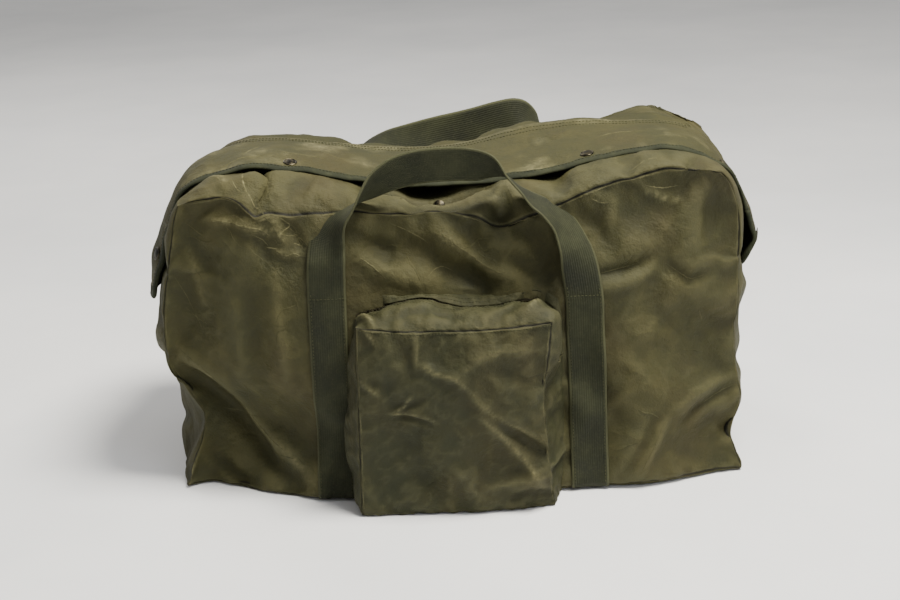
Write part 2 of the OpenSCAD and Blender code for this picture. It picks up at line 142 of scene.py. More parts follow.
camera_data = bpy.data.cameras.new("camera")
camera_data.lens = 68
camera_data.sensor_width = 36
camera = bpy.data.objects.new("camera", camera_data)
scene.collection.objects.link(camera)
scene.camera = camera
eye_distance = 1.890
eye_height = math.radians(18.3)
eye_turn = math.radians(0.75)
eye_roll = -0.0366
look_at = Vector((-0.0055, 0, 0.1625))
away = Vector(
    (
        math.sin(eye_turn) * math.cos(eye_height),
        -math.cos(eye_turn) * math.cos(eye_height),
        math.sin(eye_height),
    )
)
level_right = (-away).cross(Vector((0, 0, 1))).normalized()
level_up = level_right.cross(-away)
eye_right = math.cos(eye_roll) * level_right + math.sin(eye_roll) * level_up
eye_up = -math.sin(eye_roll) * level_right + math.cos(eye_roll) * level_up
eye = Matrix((eye_right, eye_up, away)).transposed().to_4x4()
eye.translation = look_at + away * eye_distance
camera.matrix_world = eye

# ---- Canvas body ----
# The bag itself: front and rear panels, two ends, a bottom and the two top strips, cut from
# waxed cotton canvas and sewn inside out along every edge. It is slack, so the panels bulge
# over what they hold, the top sags in the middle and the lower corners flare.

mm = 0.001
by_seam = (0.32, 0.6)  # the first two steps next to a seam, as parts of a full one


def shares(cells):
    """Places from 0 to 1 along a line, with smaller steps next to the seams at its ends."""
    step = np.ones(cells)
    for i, part in enumerate(by_seam):
        step[[i, -1 - i]] = part
    return np.concatenate([[0], np.cumsum(step)]) / step.sum()


def distances(path):
    """Distance along a line to each of its points."""
    return np.concatenate([[0], np.cumsum(np.linalg.norm(np.diff(path, axis=0), axis=1))])


def at_distances(want, run, values):
    """Rows of three values at chosen distances along a line whose points lie at run."""
    return np.stack([np.interp(want, run, values[:, k]) for k in range(3)], axis=1)


def unit(rows):
    """Rows of vectors made one long."""
    return rows / np.maximum(np.linalg.norm(rows, axis=1), 1e-9)[:, None]


def line(points, cells, fine=True):
    """Smooth curve through points in millimetres, as points in metres along its length."""
    p = np.array(points, float) * mm
    steps = np.linalg.norm(np.diff(p, axis=0), axis=1)
    at = np.concatenate([[0], np.cumsum(np.maximum(steps, 1e-9))])
    slope = np.gradient(p, at, axis=0) if len(p) > 2 else np.tile((p[1] - p[0]) / at[-1], (2, 1))
    dense = np.linspace(0, at[-1], max(len(p) * 24, 200))
    i = np.clip(np.searchsorted(at, dense, "right") - 1, 0, len(p) - 2)
    h = (at[i + 1] - at[i])[:, None]
    t = ((dense - at[i]) / (at[i + 1] - at[i]))[:, None]
    curve = (
        (2 * t**3 - 3 * t**2 + 1) * p[i]
        + (t**3 - 2 * t**2 + t) * h * slope[i]
        + (3 * t**2 - 2 * t**3) * p[i + 1]
        + (t**3 - t**2) * h * slope[i + 1]
    )
    run = distances(curve)
    return at_distances(run[-1] * (shares(cells) if fine else np.linspace(0, 1, cells + 1)), run, curve)


def joined(*parts):
    """One line from lines that share their end points."""
    return np.concatenate([parts[0]] + [p[1:] for p in parts[1:]])


def share_of(path):
    """How far along a line each of its points lies, from 0 to 1."""
    run = distances(path)
    return run / run[-1]


def patch(bottom, top, left, right):
    """Surface stretched between four edge lines, as rows of points from bottom to top."""
    u = share_of(bottom)[None, :, None]
    v = share_of(left)[:, None, None]
    across = (1 - v) * bottom[None] + v * top[None]
    up = (1 - u) * left[:, None] + u * right[:, None]
    corners = (
        (1 - u) * (1 - v) * bottom[0]
        + u * (1 - v) * bottom[-1]
        + (1 - u) * v * top[0]
        + u * v * top[-1]
    )
    return across + up - corners


# Steps along the bag, up an upright seam below and above the end panel's top corner, across a
# top strip and across the zip's gap.
along, low_side, high_side, half_deep, gap_cells = 80, 32, 11, 17, 3

# The seam round the front panel, from each lower corner up to the corner of the end panel's
# top edge, on to the panel's upper corner and across.
front_left_low = line(
    [(-294, -124, 3), (-286, -118, 26), (-274, -112, 58), (-272, -111, 82), (-285, -113, 108),
     (-300, -116, 134), (-304, -118, 165), (-302, -120, 198), (-294, -123, 240)], low_side)
front_left_high = line(
    [(-294, -123, 240), (-287, -126, 274), (-282, -129, 298), (-276, -132, 315)], high_side)
front_top = line(
    [(-276, -132, 315), (-262, -134, 319), (-247, -136, 322), (-230, -137, 324), (-216, -139, 320),
     (-205, -141, 311), (-197, -142, 304), (-188, -141, 307), (-160, -140, 304), (-106, -139, 306),
     (-51, -139, 302), (-3, -139, 303), (24, -140, 296), (50, -143, 287), (76, -140, 294),
     (111, -138, 306), (151, -137, 322), (191, -136, 332), (214, -136, 337), (251, -135, 336),
     (274, -132, 331)], along)
front_right_high = line(
    [(274, -132, 331), (284, -129, 318), (291, -126, 296), (294, -125, 240)], high_side)
front_right_low = line(
    [(294, -125, 240), (294, -124, 194), (291, -123, 150), (297, -121, 105), (299, -120, 82),
     (291, -122, 40), (303, -122, 3)], low_side)
front_bottom = line(
    [(-294, -124, 3), (-272, -112, 4), (-240, -124, 3), (-205, -142, 2), (-175, -154, 3),
     (-143, -164, 4), (-109, -169, 4), (0, -166, 5), (108, -160, 5), (148, -155, 5),
     (191, -156, 6), (246, -140, 6), (288, -124, 5), (303, -122, 3)], along)

# The same round the rear panel.
rear_left_low = line(
    [(-312, 116, 2), (-309, 119, 40), (-303, 124, 90), (-299, 128, 150), (-298, 130, 200),
     (-292, 131, 240)], low_side)
rear_left_high = line([(-292, 131, 240), (-288, 132, 268), (-275, 133, 292)], high_side)
rear_top = line(
    [(-275, 133, 292), (-250, 135, 301), (-215, 137, 306), (-150, 138, 308), (-90, 138, 302),
     (-20, 139, 300), (60, 139, 306), (120, 138, 316), (165, 134, 331), (195, 131, 342),
     (222, 129, 348), (247, 129, 341), (270, 131, 330)], along)
rear_right_high = line(
    [(270, 131, 330), (286, 131, 321), (298, 129, 303), (303, 127, 272), (301, 126, 240)], high_side)
rear_right_low = line(
    [(301, 126, 240), (304, 124, 185), (299, 122, 130), (305, 120, 70), (301, 118, 2)], low_side)
rear_bottom = line(
    [(-312, 116, 2), (-285, 118, 3), (-230, 134, 4), (-150, 150, 4), (-60, 154, 5), (60, 150, 4),
     (150, 152, 5), (235, 136, 4), (285, 120, 3), (301, 118, 2)], along)

# The zip's own line seen from the front: level over the top, down both ends.
zip_z = 317.9
zip_left = line([(-298, 0, 240), (-297.5, 0, 258), (-293, 0, 281), (-283, 0, 299), (-269, 0, 311)],
                high_side)
zip_top = line([(-269, 0, 311), (-253, 0, zip_z), (-236, 0, zip_z), (0, 0, zip_z), (238, 0, zip_z),
                (254, 0, zip_z), (271, 0, 316)], along)
zip_right = line([(271, 0, 316), (285, 0, 308.5), (294, 0, 296), (297.9, 0, 279), (298, 0, 240)],
                 high_side)
zip_line = joined(zip_left, zip_top, zip_right)


def outward(path):
    """Unit vectors in the X-Z plane that point out of the bag from a line over its top."""
    run = np.gradient(path, axis=0)
    out = np.stack([-run[:, 2], np.zeros(len(run)), run[:, 0]], axis=1)
    return unit(out)


# The strips' folded edges: how far from the zip's middle, and how far above its line.
lip_y = 12 * mm
over_zip = 1.3 * mm
front_lip, rear_lip = (zip_line + outward(zip_line) * over_zip + [0, y, 0] for y in (-lip_y, lip_y))

# Height of the storm flap along its front edge and along its sewn edge, and the slack between
# it and the strip below.
flap_edge = [(-290, 318), (-268, 328), (-241, 336), (-210, 343), (-179, 342), (-143, 337),
             (-103, 327), (-87, 323), (-21, 318), (30, 320), (72, 324), (113, 330), (144, 339),
             (175, 344), (206, 349), (236, 347), (257, 340), (280, 331), (295, 322)]
flap_seam = [(-285, 306), (-271, 317), (-257, 330), (-240, 339), (-219, 345), (-175, 344),
             (-131, 338), (-102, 334), (-40, 329), (20, 333), (60, 344), (101, 352), (165, 354),
             (209, 352), (250, 348), (275, 337), (292, 322)]
edge_slack = [(-290, 3), (-200, 3), (-130, 4), (-90, 8), (-20, 9), (40, 5), (100, 6), (150, 4),
              (290, 3)]
seam_slack = [(-290, 3), (290, 3)]


def between(points, s):
    """Values at places along the bag, eased between pairs of place and value."""
    place = np.array([p[0] for p in points], float)
    value = np.array([p[1] for p in points], float)
    k = np.clip(np.searchsorted(place, s, "right") - 1, 0, len(place) - 2)
    t = np.clip((s - place[k]) / (place[k + 1] - place[k]), 0, 1)
    t = t * t * (3 - 2 * t)
    return value[k] * (1 - t) + value[k + 1] * t


def top_strip(seam, lip, place_y, top, slack, peak, end_rise=4 * mm):
    """Top strip from its seam to the zip, raised so that it lies just under the flap along
    the line y = place_y. peak is where across the strip it is highest."""
    share = (place_y - seam[:, 1]) / (lip[:, 1] - seam[:, 1])
    base = seam[:, 2] * (1 - share) + lip[:, 2] * share
    want = (between(top, seam[:, 0] / mm) - between(slack, seam[:, 0] / mm)) * mm
    level = np.clip((280 * mm - np.abs(seam[:, 0])) / (30 * mm), 0, 1)
    from_end = np.minimum(np.arange(len(seam)), np.arange(len(seam))[::-1])
    rise = (want - base) * level + (1 - level) * end_rise * np.clip(from_end / 3, 0, 1)
    t = shares(half_deep)[None, :, None]
    flat = seam[:, None] * (1 - t) + lip[:, None] * t
    hump = np.sin(np.pi * t ** (math.log(0.5) / math.log(peak)))
    return flat + outward(seam)[:, None] * rise[:, None, None] * hump


front_seam = joined(front_left_high, front_top, front_right_high)
rear_seam = joined(rear_left_high, rear_top, rear_right_high)
front_strip = top_strip(front_seam, front_lip, -92 * mm, flap_edge, edge_slack, 0.37)
rear_strip = top_strip(rear_seam, rear_lip, 40 * mm, flap_seam, seam_slack, 0.74)


def end_panel(low_edge, top_edge, front_edge, rear_edge, side, bulge):
    """End panel between the two upright seams, pushed outwards by bulge."""
    rows = patch(low_edge, top_edge, front_edge, rear_edge)
    v, u = np.meshgrid(share_of(front_edge), share_of(low_edge), indexing="ij")
    push = np.sin(np.pi * u) ** 0.8 * np.sin(np.pi * np.clip(v * 0.86 + 0.07, 0, 1)) ** 0.7
    push[[0, -1]] = 0
    rows[:, :, 0] += side * push * bulge
    return rows


def end_top(i):
    """Top edge of an end panel: the strips' lower ends with the zip's end between them."""
    gap = np.linspace(front_lip[i], rear_lip[i], gap_cells + 1)
    return joined(front_strip[i], gap, rear_strip[i][::-1])


def end_bottom(points, top):
    """Bottom edge of an end panel, divided as its top edge is."""
    dense = line(points, 200, fine=False)
    return at_distances(share_of(top), share_of(dense), dense)


left_top_edge = end_top(0)
right_top_edge = end_top(-1)
left_bottom = end_bottom([(-294, -124, 3), (-300, -70, 2), (-304, 0, 1.5), (-309, 70, 2),
                          (-312, 116, 2)], left_top_edge)
right_bottom = end_bottom([(303, -122, 3), (297, -60, 2), (296, 0, 1.5), (297, 60, 2),
                           (301, 118, 2)], right_top_edge)
left_end = end_panel(left_bottom, left_top_edge, front_left_low, rear_left_low, -1, 16 * mm)
right_end = end_panel(right_bottom, right_top_edge, front_right_low[::-1], rear_right_low[::-1],
                      1, 10 * mm)
front_panel = patch(front_bottom, front_top, joined(front_left_low, front_left_high),
                    joined(front_right_high, front_right_low)[::-1])
rear_panel = patch(rear_bottom, rear_top, joined(rear_left_low, rear_left_high),
                   joined(rear_right_high, rear_right_low)[::-1])
bottom_panel = patch(front_bottom, rear_bottom, left_bottom, right_bottom)


def belly(rows, side, depth):
    """Pushes a big panel outwards between its seams."""
    v, u = np.meshgrid(share_of(rows[:, 0]), share_of(rows[0]), indexing="ij")
    rows[:, :, 1] += side * depth * np.sin(np.pi * u) ** 0.5 * np.sin(np.pi * v) ** 0.6


belly(front_panel, -1, 10 * mm)
belly(rear_panel, 1, 11 * mm)
bottom_panel[1:-1, 1:-1, 2] = 1 * mm

# Points nearer than the first of these are sewn into one; the second keeps each panel's threads
# out of line with the next one's.
touching, apart = 0.02 * mm, 0.7371


def read(items, name, width, kind=np.float32):
    """Values of a mesh's points, faces, edges or an attribute as an array."""
    values = np.empty(len(items) * width, kind)
    items.foreach_get(name, values)
    return values.reshape(-1, width) if width > 1 else values


def mesh_of(name, points, faces):
    """Mesh from points and faces."""
    data = bpy.data.meshes.new(name)
    data.from_pydata(np.reshape(points, (-1, 3)).tolist(), [], faces)
    return data


def placed(name, data, smooth=True):
    """Puts a mesh in the scene as an object."""
    if smooth:
        data.polygons.foreach_set("use_smooth", [True] * len(data.polygons))
    obj = bpy.data.objects.new(name, data)
    scene.collection.objects.link(obj)
    return obj


def point_values(data, name, values):
    """Stores a number for each point of a mesh under a name."""
    layer = data.attributes.new(name, "FLOAT", "POINT")
    layer.data.foreach_set("value", np.asarray(values, np.float32).reshape(-1))


def thread_map(data, flat):
    """Stores where each corner of a mesh's faces lies on the cloth it is cut from."""
    layer = data.uv_layers.new(name="threads")
    layer.data.foreach_set("uv", flat.reshape(-1).astype(np.float32))


def corner_points(data):
    """Point number at each corner of each face."""
    return read(data.loops, "vertex_index", 1, np.int32)


def spans(rows, axis):
    """Distance of each line of a grid from the first, as an average."""
    steps = np.linalg.norm(np.diff(rows, axis=axis), axis=2).mean(1 - axis)
    return np.concatenate([[0], np.cumsum(steps)])


def sew_up(name, panels):
    """One mesh of panels, joined where their edges meet. Each is its number, its grid of points
    and 1 or -1 for the way its faces turn."""
    points = np.concatenate([rows.reshape(-1, 3) for _, rows, _ in panels])
    key = np.round(points / touching).astype(np.int64)
    _, first, back = np.unique(key, axis=0, return_index=True, return_inverse=True)
    back = back.reshape(-1)
    faces, threads, numbers, start = [], [], [], 0
    for number, rows, turn in panels:
        n, m = rows.shape[:2]
        at = back[start : start + n * m].reshape(n, m)
        start += n * m
        flat = np.stack(np.meshgrid(spans(rows, 1), spans(rows, 0)), axis=-1) + number * apart
        for grid, store in ((at[..., None], faces), (flat, threads)):
            corner = [grid[:-1, :-1], grid[:-1, 1:], grid[1:, 1:], grid[1:, :-1]][::turn]
            store.append(np.stack(corner, axis=2).reshape(-1, 4, grid.shape[-1]))
        numbers.append(np.full((n - 1) * (m - 1), number))
    data = mesh_of(name, points[first], np.concatenate(faces)[:, :, 0].tolist())
    thread_map(data, np.concatenate(threads))
    tag = data.attributes.new("panel", "INT", "FACE")
    tag.data.foreach_set("value", np.concatenate(numbers).astype(np.int32))
    return placed(name, data, smooth=False)


FRONT, REAR, BOTTOM, LEFT_END, RIGHT_END, FRONT_STRIP, REAR_STRIP = range(7)
shell = sew_up("canvas_body", [
    (FRONT, front_panel, 1), (REAR, rear_panel, -1), (BOTTOM, bottom_panel, -1),
    (LEFT_END, left_end, -1), (RIGHT_END, right_end, 1), (FRONT_STRIP, front_strip, -1),
    (REAR_STRIP, rear_strip, 1),
])


def places(mesh):
    return read(mesh.vertices, "co", 3).astype(float)


def move(mesh, co):
    mesh.vertices.foreach_set("co", np.asarray(co, np.float32).reshape(-1))
    mesh.update()


def tags(mesh):
    """Lowest and highest panel number round each point: they differ on a seam."""
    number = read(mesh.attributes["panel"].data, "value", 1, np.int32)
    low = np.full(len(mesh.vertices), 99)
    high = np.full(len(mesh.vertices), -1)
    np.minimum.at(low, corner_points(mesh), np.repeat(number, 4))
    np.maximum.at(high, corner_points(mesh), np.repeat(number, 4))
    return low, high


def settle(obj, hold, frames, slack, cap, bend=4, stiff=40):
    """Lets cloth that is cut a little too large for its shape buckle into folds of its own.
    hold is how firmly each point is kept in place; no point moves further than about cap."""
    start = places(obj.data)
    seed = np.random.default_rng(7).normal(0, 0.25 * mm, start.shape)
    move(obj.data, start + seed * (1 - hold[:, None]))
    group = obj.vertex_groups.new(name="held")
    for level in np.unique(np.round(hold, 2)):
        if level > 0:
            group.add(np.nonzero(np.round(hold, 2) == level)[0].tolist(), float(level), "REPLACE")
    cloth = obj.modifiers.new("cloth", "CLOTH")
    c = cloth.settings
    c.quality = 6
    c.mass = 0.05
    c.tension_stiffness = stiff
    c.compression_stiffness = stiff
    c.shear_stiffness = stiff * 0.4
    c.bending_stiffness = bend
    c.tension_damping = 8
    c.compression_damping = 8
    c.shear_damping = 8
    c.bending_damping = 1
    c.air_damping = 2
    c.shrink_min = -slack
    c.shrink_max = -slack
    c.vertex_group_mass = "held"
    c.pin_stiffness = 1
    c.effector_weights.gravity = 0.02
    cloth.collision_settings.use_collision = False
    cloth.point_cache.frame_start = 1
    cloth.point_cache.frame_end = frames
    for f in range(1, frames + 1):
        scene.frame_set(f)
    solved = obj.evaluated_get(bpy.context.evaluated_depsgraph_get())
    moved = places(solved.data) - start
    obj.modifiers.remove(cloth)
    obj.vertex_groups.remove(group)
    scene.frame_set(1)
    size = np.linalg.norm(moved, axis=1)[:, None]
    moved *= cap * np.tanh(size / cap) / np.maximum(size, 1e-9)
    move(obj.data, start + moved)


# While it settles the bottom and the edges beside the zip are held still, the seams fairly
# firmly and the rest of the cloth hardly at all.
low, high = tags(shell.data)
hold = np.where(low != high, 0.6, 0.02)
hold[(low == BOTTOM) | (high == BOTTOM)] = 1
hold[(np.abs(places(shell.data)[:, 1]) < lip_y + 1 * mm) & (high >= FRONT_STRIP)] = 1
settle(shell, hold, frames=24, slack=0.042, cap=10 * mm)


def applied(obj, modifier):
    """Replaces an object's mesh with what a modifier makes of it."""
    made = bpy.data.meshes.new_from_object(obj.evaluated_get(bpy.context.evaluated_depsgraph_get()))
    obj.modifiers.remove(modifier)
    obj.data = made
    return made


def subdivided(obj):
    """Replaces an object's mesh with its subdivided, smooth-shaded one."""
    finer = obj.modifiers.new("finer", "SUBSURF")
    finer.levels = 1
    made = applied(obj, finer)
    made.polygons.foreach_set("use_smooth", [True] * len(made.polygons))


def near(points, path):
    """Distance from points to a path, both in two dimensions, and how far along it each is."""
    path = np.array(path, float) * mm
    run = distances(path)
    best = np.full(len(points), np.inf)
    place = np.zeros(len(points))
    for k in range(len(path) - 1):
        d = path[k + 1] - path[k]
        t = np.clip(((points - path[k]) @ d) / (d @ d), 0, 1)
        gap = np.linalg.norm(points - path[k] - t[:, None] * d, axis=1)
        place = np.where(gap < best, (run[k] + t * (run[k + 1] - run[k])) / run[-1], place)
        best = np.minimum(best, gap)
    return best, place


lowest = 0.8 * mm  # the cloth's own thickness keeps it off the table


class Finish:
    """Folds, seams and wear worked into a sewn mesh after it has settled."""

    def __init__(self, obj):
        self.mesh = obj.data
        self.co = places(self.mesh)
        self.normal = read(self.mesh.vertex_normals, "vector", 3).astype(float)
        self.low, self.high = tags(self.mesh)
        self.edge = read(self.mesh.edges, "vertices", 2, np.int32)
        self.degree = np.maximum(np.bincount(self.edge.ravel(), minlength=len(self.co)), 1)
        self.worn = np.zeros(len(self.co))

    def fold(self, panel, axes, path, width, height, wear=0.0):
        """Raises, or for a negative height sinks, a fold along a path drawn on one panel."""
        pick = np.nonzero((self.low == panel) | (self.high == panel))[0]
        gap, place = near(self.co[pick][:, axes], path)
        taper = np.sin(np.pi * np.clip(place * 0.94 + 0.03, 0, 1)) ** 0.5
        shape = np.exp(-((gap / (width * mm)) ** 2)) * taper
        self.co[pick] += self.normal[pick] * (shape * height * mm)[:, None]
        self.worn[pick] += wear * np.exp(-((gap / (width * 0.25 * mm)) ** 2)) * taper

    def folds(self, panel, axes, items):
        for item in items:
            self.fold(panel, axes, *item)

    def average(self, values, times=1):
        """Values smoothed over their neighbours."""
        a, b = self.edge.T
        for _ in range(times):
            total = np.stack(
                [np.bincount(a, values[b, k], len(self.co)) + np.bincount(b, values[a, k], len(self.co))
                 for k in range(values.shape[1])], axis=1)
            values = 0.5 * values + 0.5 * total / self.degree[:, None]
        return values

    def crumple(self, depth, size, seed):
        """Adds the small random creases of cloth that has been handled a lot."""
        shift = Vector((seed * 3.7, seed * 1.3, seed * 2.1))
        wave = np.array([noise.ridged_multi_fractal(Vector(p) / size + shift, 0.9, 2.1, 3, 0.9, 2.0)
                         for p in self.co.tolist()])
        wave = (wave - wave.mean()) / wave.std()
        self.co += self.normal * (np.clip(wave, -2, 2.5) * depth)[:, None]

    def seam(self, depth, pucker, pitch):
        """Sinks the seams and puckers the cloth beside them."""
        on = (self.low != self.high).astype(float)[:, None]
        drift = 3 * np.sin(self.co @ [31, 17, 23.0])
        wave = np.sin((self.co @ [1.0, 0.6, 0.8]) * 2 * np.pi / pitch + drift)
        beside = np.clip(self.average(on, 3)[:, 0] * 3, 0, 1)
        self.co += self.normal * (beside * wave * pucker - on[:, 0] * depth)[:, None]
        self.worn += 0.35 * np.clip(beside - on[:, 0], 0, 1) * (0.5 + 0.5 * wave)
        return on[:, 0]

    def close(self, line_on):
        """Writes the shape back, with how worn, creased and sewn the cloth is at each point."""
        self.co[:, 2] = np.maximum(self.co[:, 2], lowest)
        move(self.mesh, self.co)
        normal = read(self.mesh.vertex_normals, "vector", 3).astype(float)
        fine = np.einsum("ij,ij->i", self.co - self.average(self.co, 3), normal)
        broad = np.einsum("ij,ij->i", self.co - self.average(self.co, 14), normal)
        ridge = np.clip(fine / (0.22 * mm), -1, 1) * 0.5 + np.clip(broad / (1.1 * mm), -1, 1) * 0.5
        for name, values in (("worn", np.clip(self.worn, 0, 1)), ("ridge", ridge), ("seam", line_on)):
            point_values(self.mesh, name, values)


subdivided(shell)
work = Finish(shell)
XZ = [0, 2]
XY = [0, 1]
YZ = [1, 2]
work.folds(FRONT, XZ, [
    ([(-292, 158), (-265, 136), (-241, 108), (-227, 88), (-208, 65), (-183, 47), (-148, 14)],
     15, 9, 0.5),
    ([(-286, 130), (-264, 110), (-242, 84), (-226, 60), (-205, 38), (-180, 22)], 12, -16),
    ([(-262, 30), (-246, 17), (-226, 6)], 6, -8),
    ([(-281, 66), (-284, 36), (-291, 6)], 5, 3, 0.9),
    ([(-212, 240), (-210, 180), (-200, 120)], 13, -5),
    ([(-180, 250), (-178, 190), (-172, 130)], 11, 4, 0.15),
    ([(-250, 300), (-228, 299), (-212, 296), (-190, 290), (-179, 280)], 6, 4, 1.0),
    ([(-186, 298), (-174, 288), (-166, 272)], 5, 3, 0.8),
    ([(-168, 296), (-157, 284), (-150, 268)], 5, -3),
    ([(-180, 270), (-166, 264), (-152, 266)], 5, 3, 0.9),
    ([(-204, 284), (-192, 272), (-187, 256)], 6, -3, 0.2),
    ([(-196, 300), (-184, 303), (-172, 296)], 4, 3, 0.8),
    ([(-270, 270), (-262, 240), (-256, 205)], 10, 3, 0.3),
    ([(145, 234), (168, 237), (190, 243), (203, 252)], 8, -8),
    ([(150, 220), (175, 225), (204, 238)], 8, 4, 0.15),
    ([(216, 243), (232, 230), (241, 224), (259, 227)], 7, -5),
    ([(228, 280), (218, 256), (210, 236), (200, 210), (195, 190)], 14, -5),
    ([(262, 308), (265, 285), (262, 260)], 9, -6),
    ([(125, 298), (145, 285), (160, 262), (167, 250)], 10, -5),
    ([(195, 318), (215, 308), (232, 305)], 5, 3, 0.8),
    ([(216, 74), (204, 48), (190, 20)], 6, 4, 0.3),
    ([(206, 78), (194, 50), (178, 24)], 6, -3),
    ([(294, 98), (275, 92), (253, 82), (233, 64)], 8, -6),
    ([(294, 110), (270, 105), (245, 96), (225, 82)], 8, 4, 0.15),
    ([(293, 54), (277, 44)], 10, -8),
    ([(-14, 284), (8, 266), (38, 244), (62, 238)], 9, 7, 0.35),
    ([(-50, 272), (-24, 258), (5, 240), (30, 226)], 12, -9),
    ([(-98, 262), (-70, 246), (-40, 236)], 11, 6, 0.2),
    ([(-100, 284), (-80, 270), (-56, 262)], 9, -6),
    ([(60, 262), (78, 246), (92, 234)], 10, -7),
    ([(-80, 280), (-72, 266), (-60, 252)], 10, -4),
    ([(60, 292), (84, 270), (98, 240)], 11, -5),
])
work.folds(FRONT_STRIP, XY, [
    ([(-200, -97), (-199, -108), (-198, -120)], 9, 5),
    ([(-84, -116), (-45, -120), (-8, -124), (16, -118), (42, -106)], 6, 5, 0.2),
    ([(-84, -104), (-45, -107), (-8, -110), (14, -106), (40, -97)], 8, -12),
    ([(26, -139), (44, -120), (58, -104)], 7, 6, 0.3),
    ([(76, -138), (66, -120), (58, -104)], 7, 5, 0.2),
    ([(50, -140), (54, -126)], 8, -4),
    ([(-248, -98), (-232, -110), (-226, -126)], 7, 3, 0.7),
    ([(-170, -126), (-150, -112), (-120, -108)], 12, -3),
])
work.folds(REAR, XZ, [
    ([(-290, 150), (-255, 118), (-225, 84), (-190, 40)], 15, 7, 0.3),
    ([(-275, 120), (-245, 92), (-214, 56)], 12, -8),
    ([(295, 140), (262, 112), (236, 70), (214, 30)], 14, 7, 0.3),
    ([(280, 108), (254, 82), (232, 44)], 11, -8),
    ([(-60, 276), (-10, 256), (50, 262), (110, 284)], 13, -6),
    ([(-40, 236), (20, 222), (80, 234)], 12, 5, 0.2),
    ([(-230, 280), (-200, 258), (-186, 230)], 9, -5),
    ([(190, 318), (206, 292), (214, 262)], 10, -6),
    ([(-80, 120), (-20, 96), (60, 84)], 13, -4),
    ([(-70, 96), (0, 70), (70, 52)], 11, 4, 0.2),
])
work.folds(LEFT_END, YZ, [
    ([(-110, 150), (-70, 128), (-20, 104), (40, 92)], 11, -7),
    ([(-104, 176), (-60, 150), (0, 130), (60, 124)], 11, 5, 0.3),
    ([(100, 190), (60, 160), (40, 120)], 11, -5),
    ([(-60, 60), (-10, 40), (50, 34)], 10, -5),
])
work.folds(RIGHT_END, YZ, [
    ([(-110, 120), (-60, 108), (0, 84), (60, 70)], 11, -6),
    ([(-104, 206), (-60, 190), (-20, 160)], 10, 5, 0.3),
    ([(100, 170), (50, 140), (10, 128)], 10, -5),
    ([(-80, 50), (-20, 36), (40, 40)], 9, 4, 0.3),
])
work.crumple(depth=0.28 * mm, size=34 * mm, seed=1)
work.close(work.seam(depth=2.0 * mm, pucker=0.6 * mm, pitch=19 * mm))

# ---- Waxed canvas ----
# Heavy cotton duck, proofed with wax and worn: the wax goes pale where the cloth is creased or
# rubbed, and shade is painted into the hollows and along the seams. The yarns are 0.6 mm; they are drawn
# 1.2 mm.


def creases(tree, where, scale, detail, low, high):
    """Thin branching lines like the creases of stiff cloth, as a factor from 0 to 1."""
    bend = add(tree, "TexNoise", None, Vector=where, Scale=scale * 0.6, Detail=2.0)
    shift = add(tree, "VectorMath", {"operation": "MULTIPLY_ADD"}, n0=bend.outputs["Color"],
                n1=(0.5 / scale,) * 3, n2=where)
    lines = add(tree, "TexNoise", {"noise_type": "RIDGED_MULTIFRACTAL", "normalize": False},
                Vector=shift, Scale=scale, Detail=detail, Roughness=0.6)
    return add(tree, "MapRange", None, Value=lines, From_Min=low, From_Max=high)


TIMES, ADDED, LARGER = ({"operation": name} for name in ("MULTIPLY", "MULTIPLY_ADD", "MAXIMUM"))
KEPT_IN = {"use_clamp": True}
BLEND = {"data_type": "RGBA"}  # its factor, first and second colour are inputs 0, 6 and 7


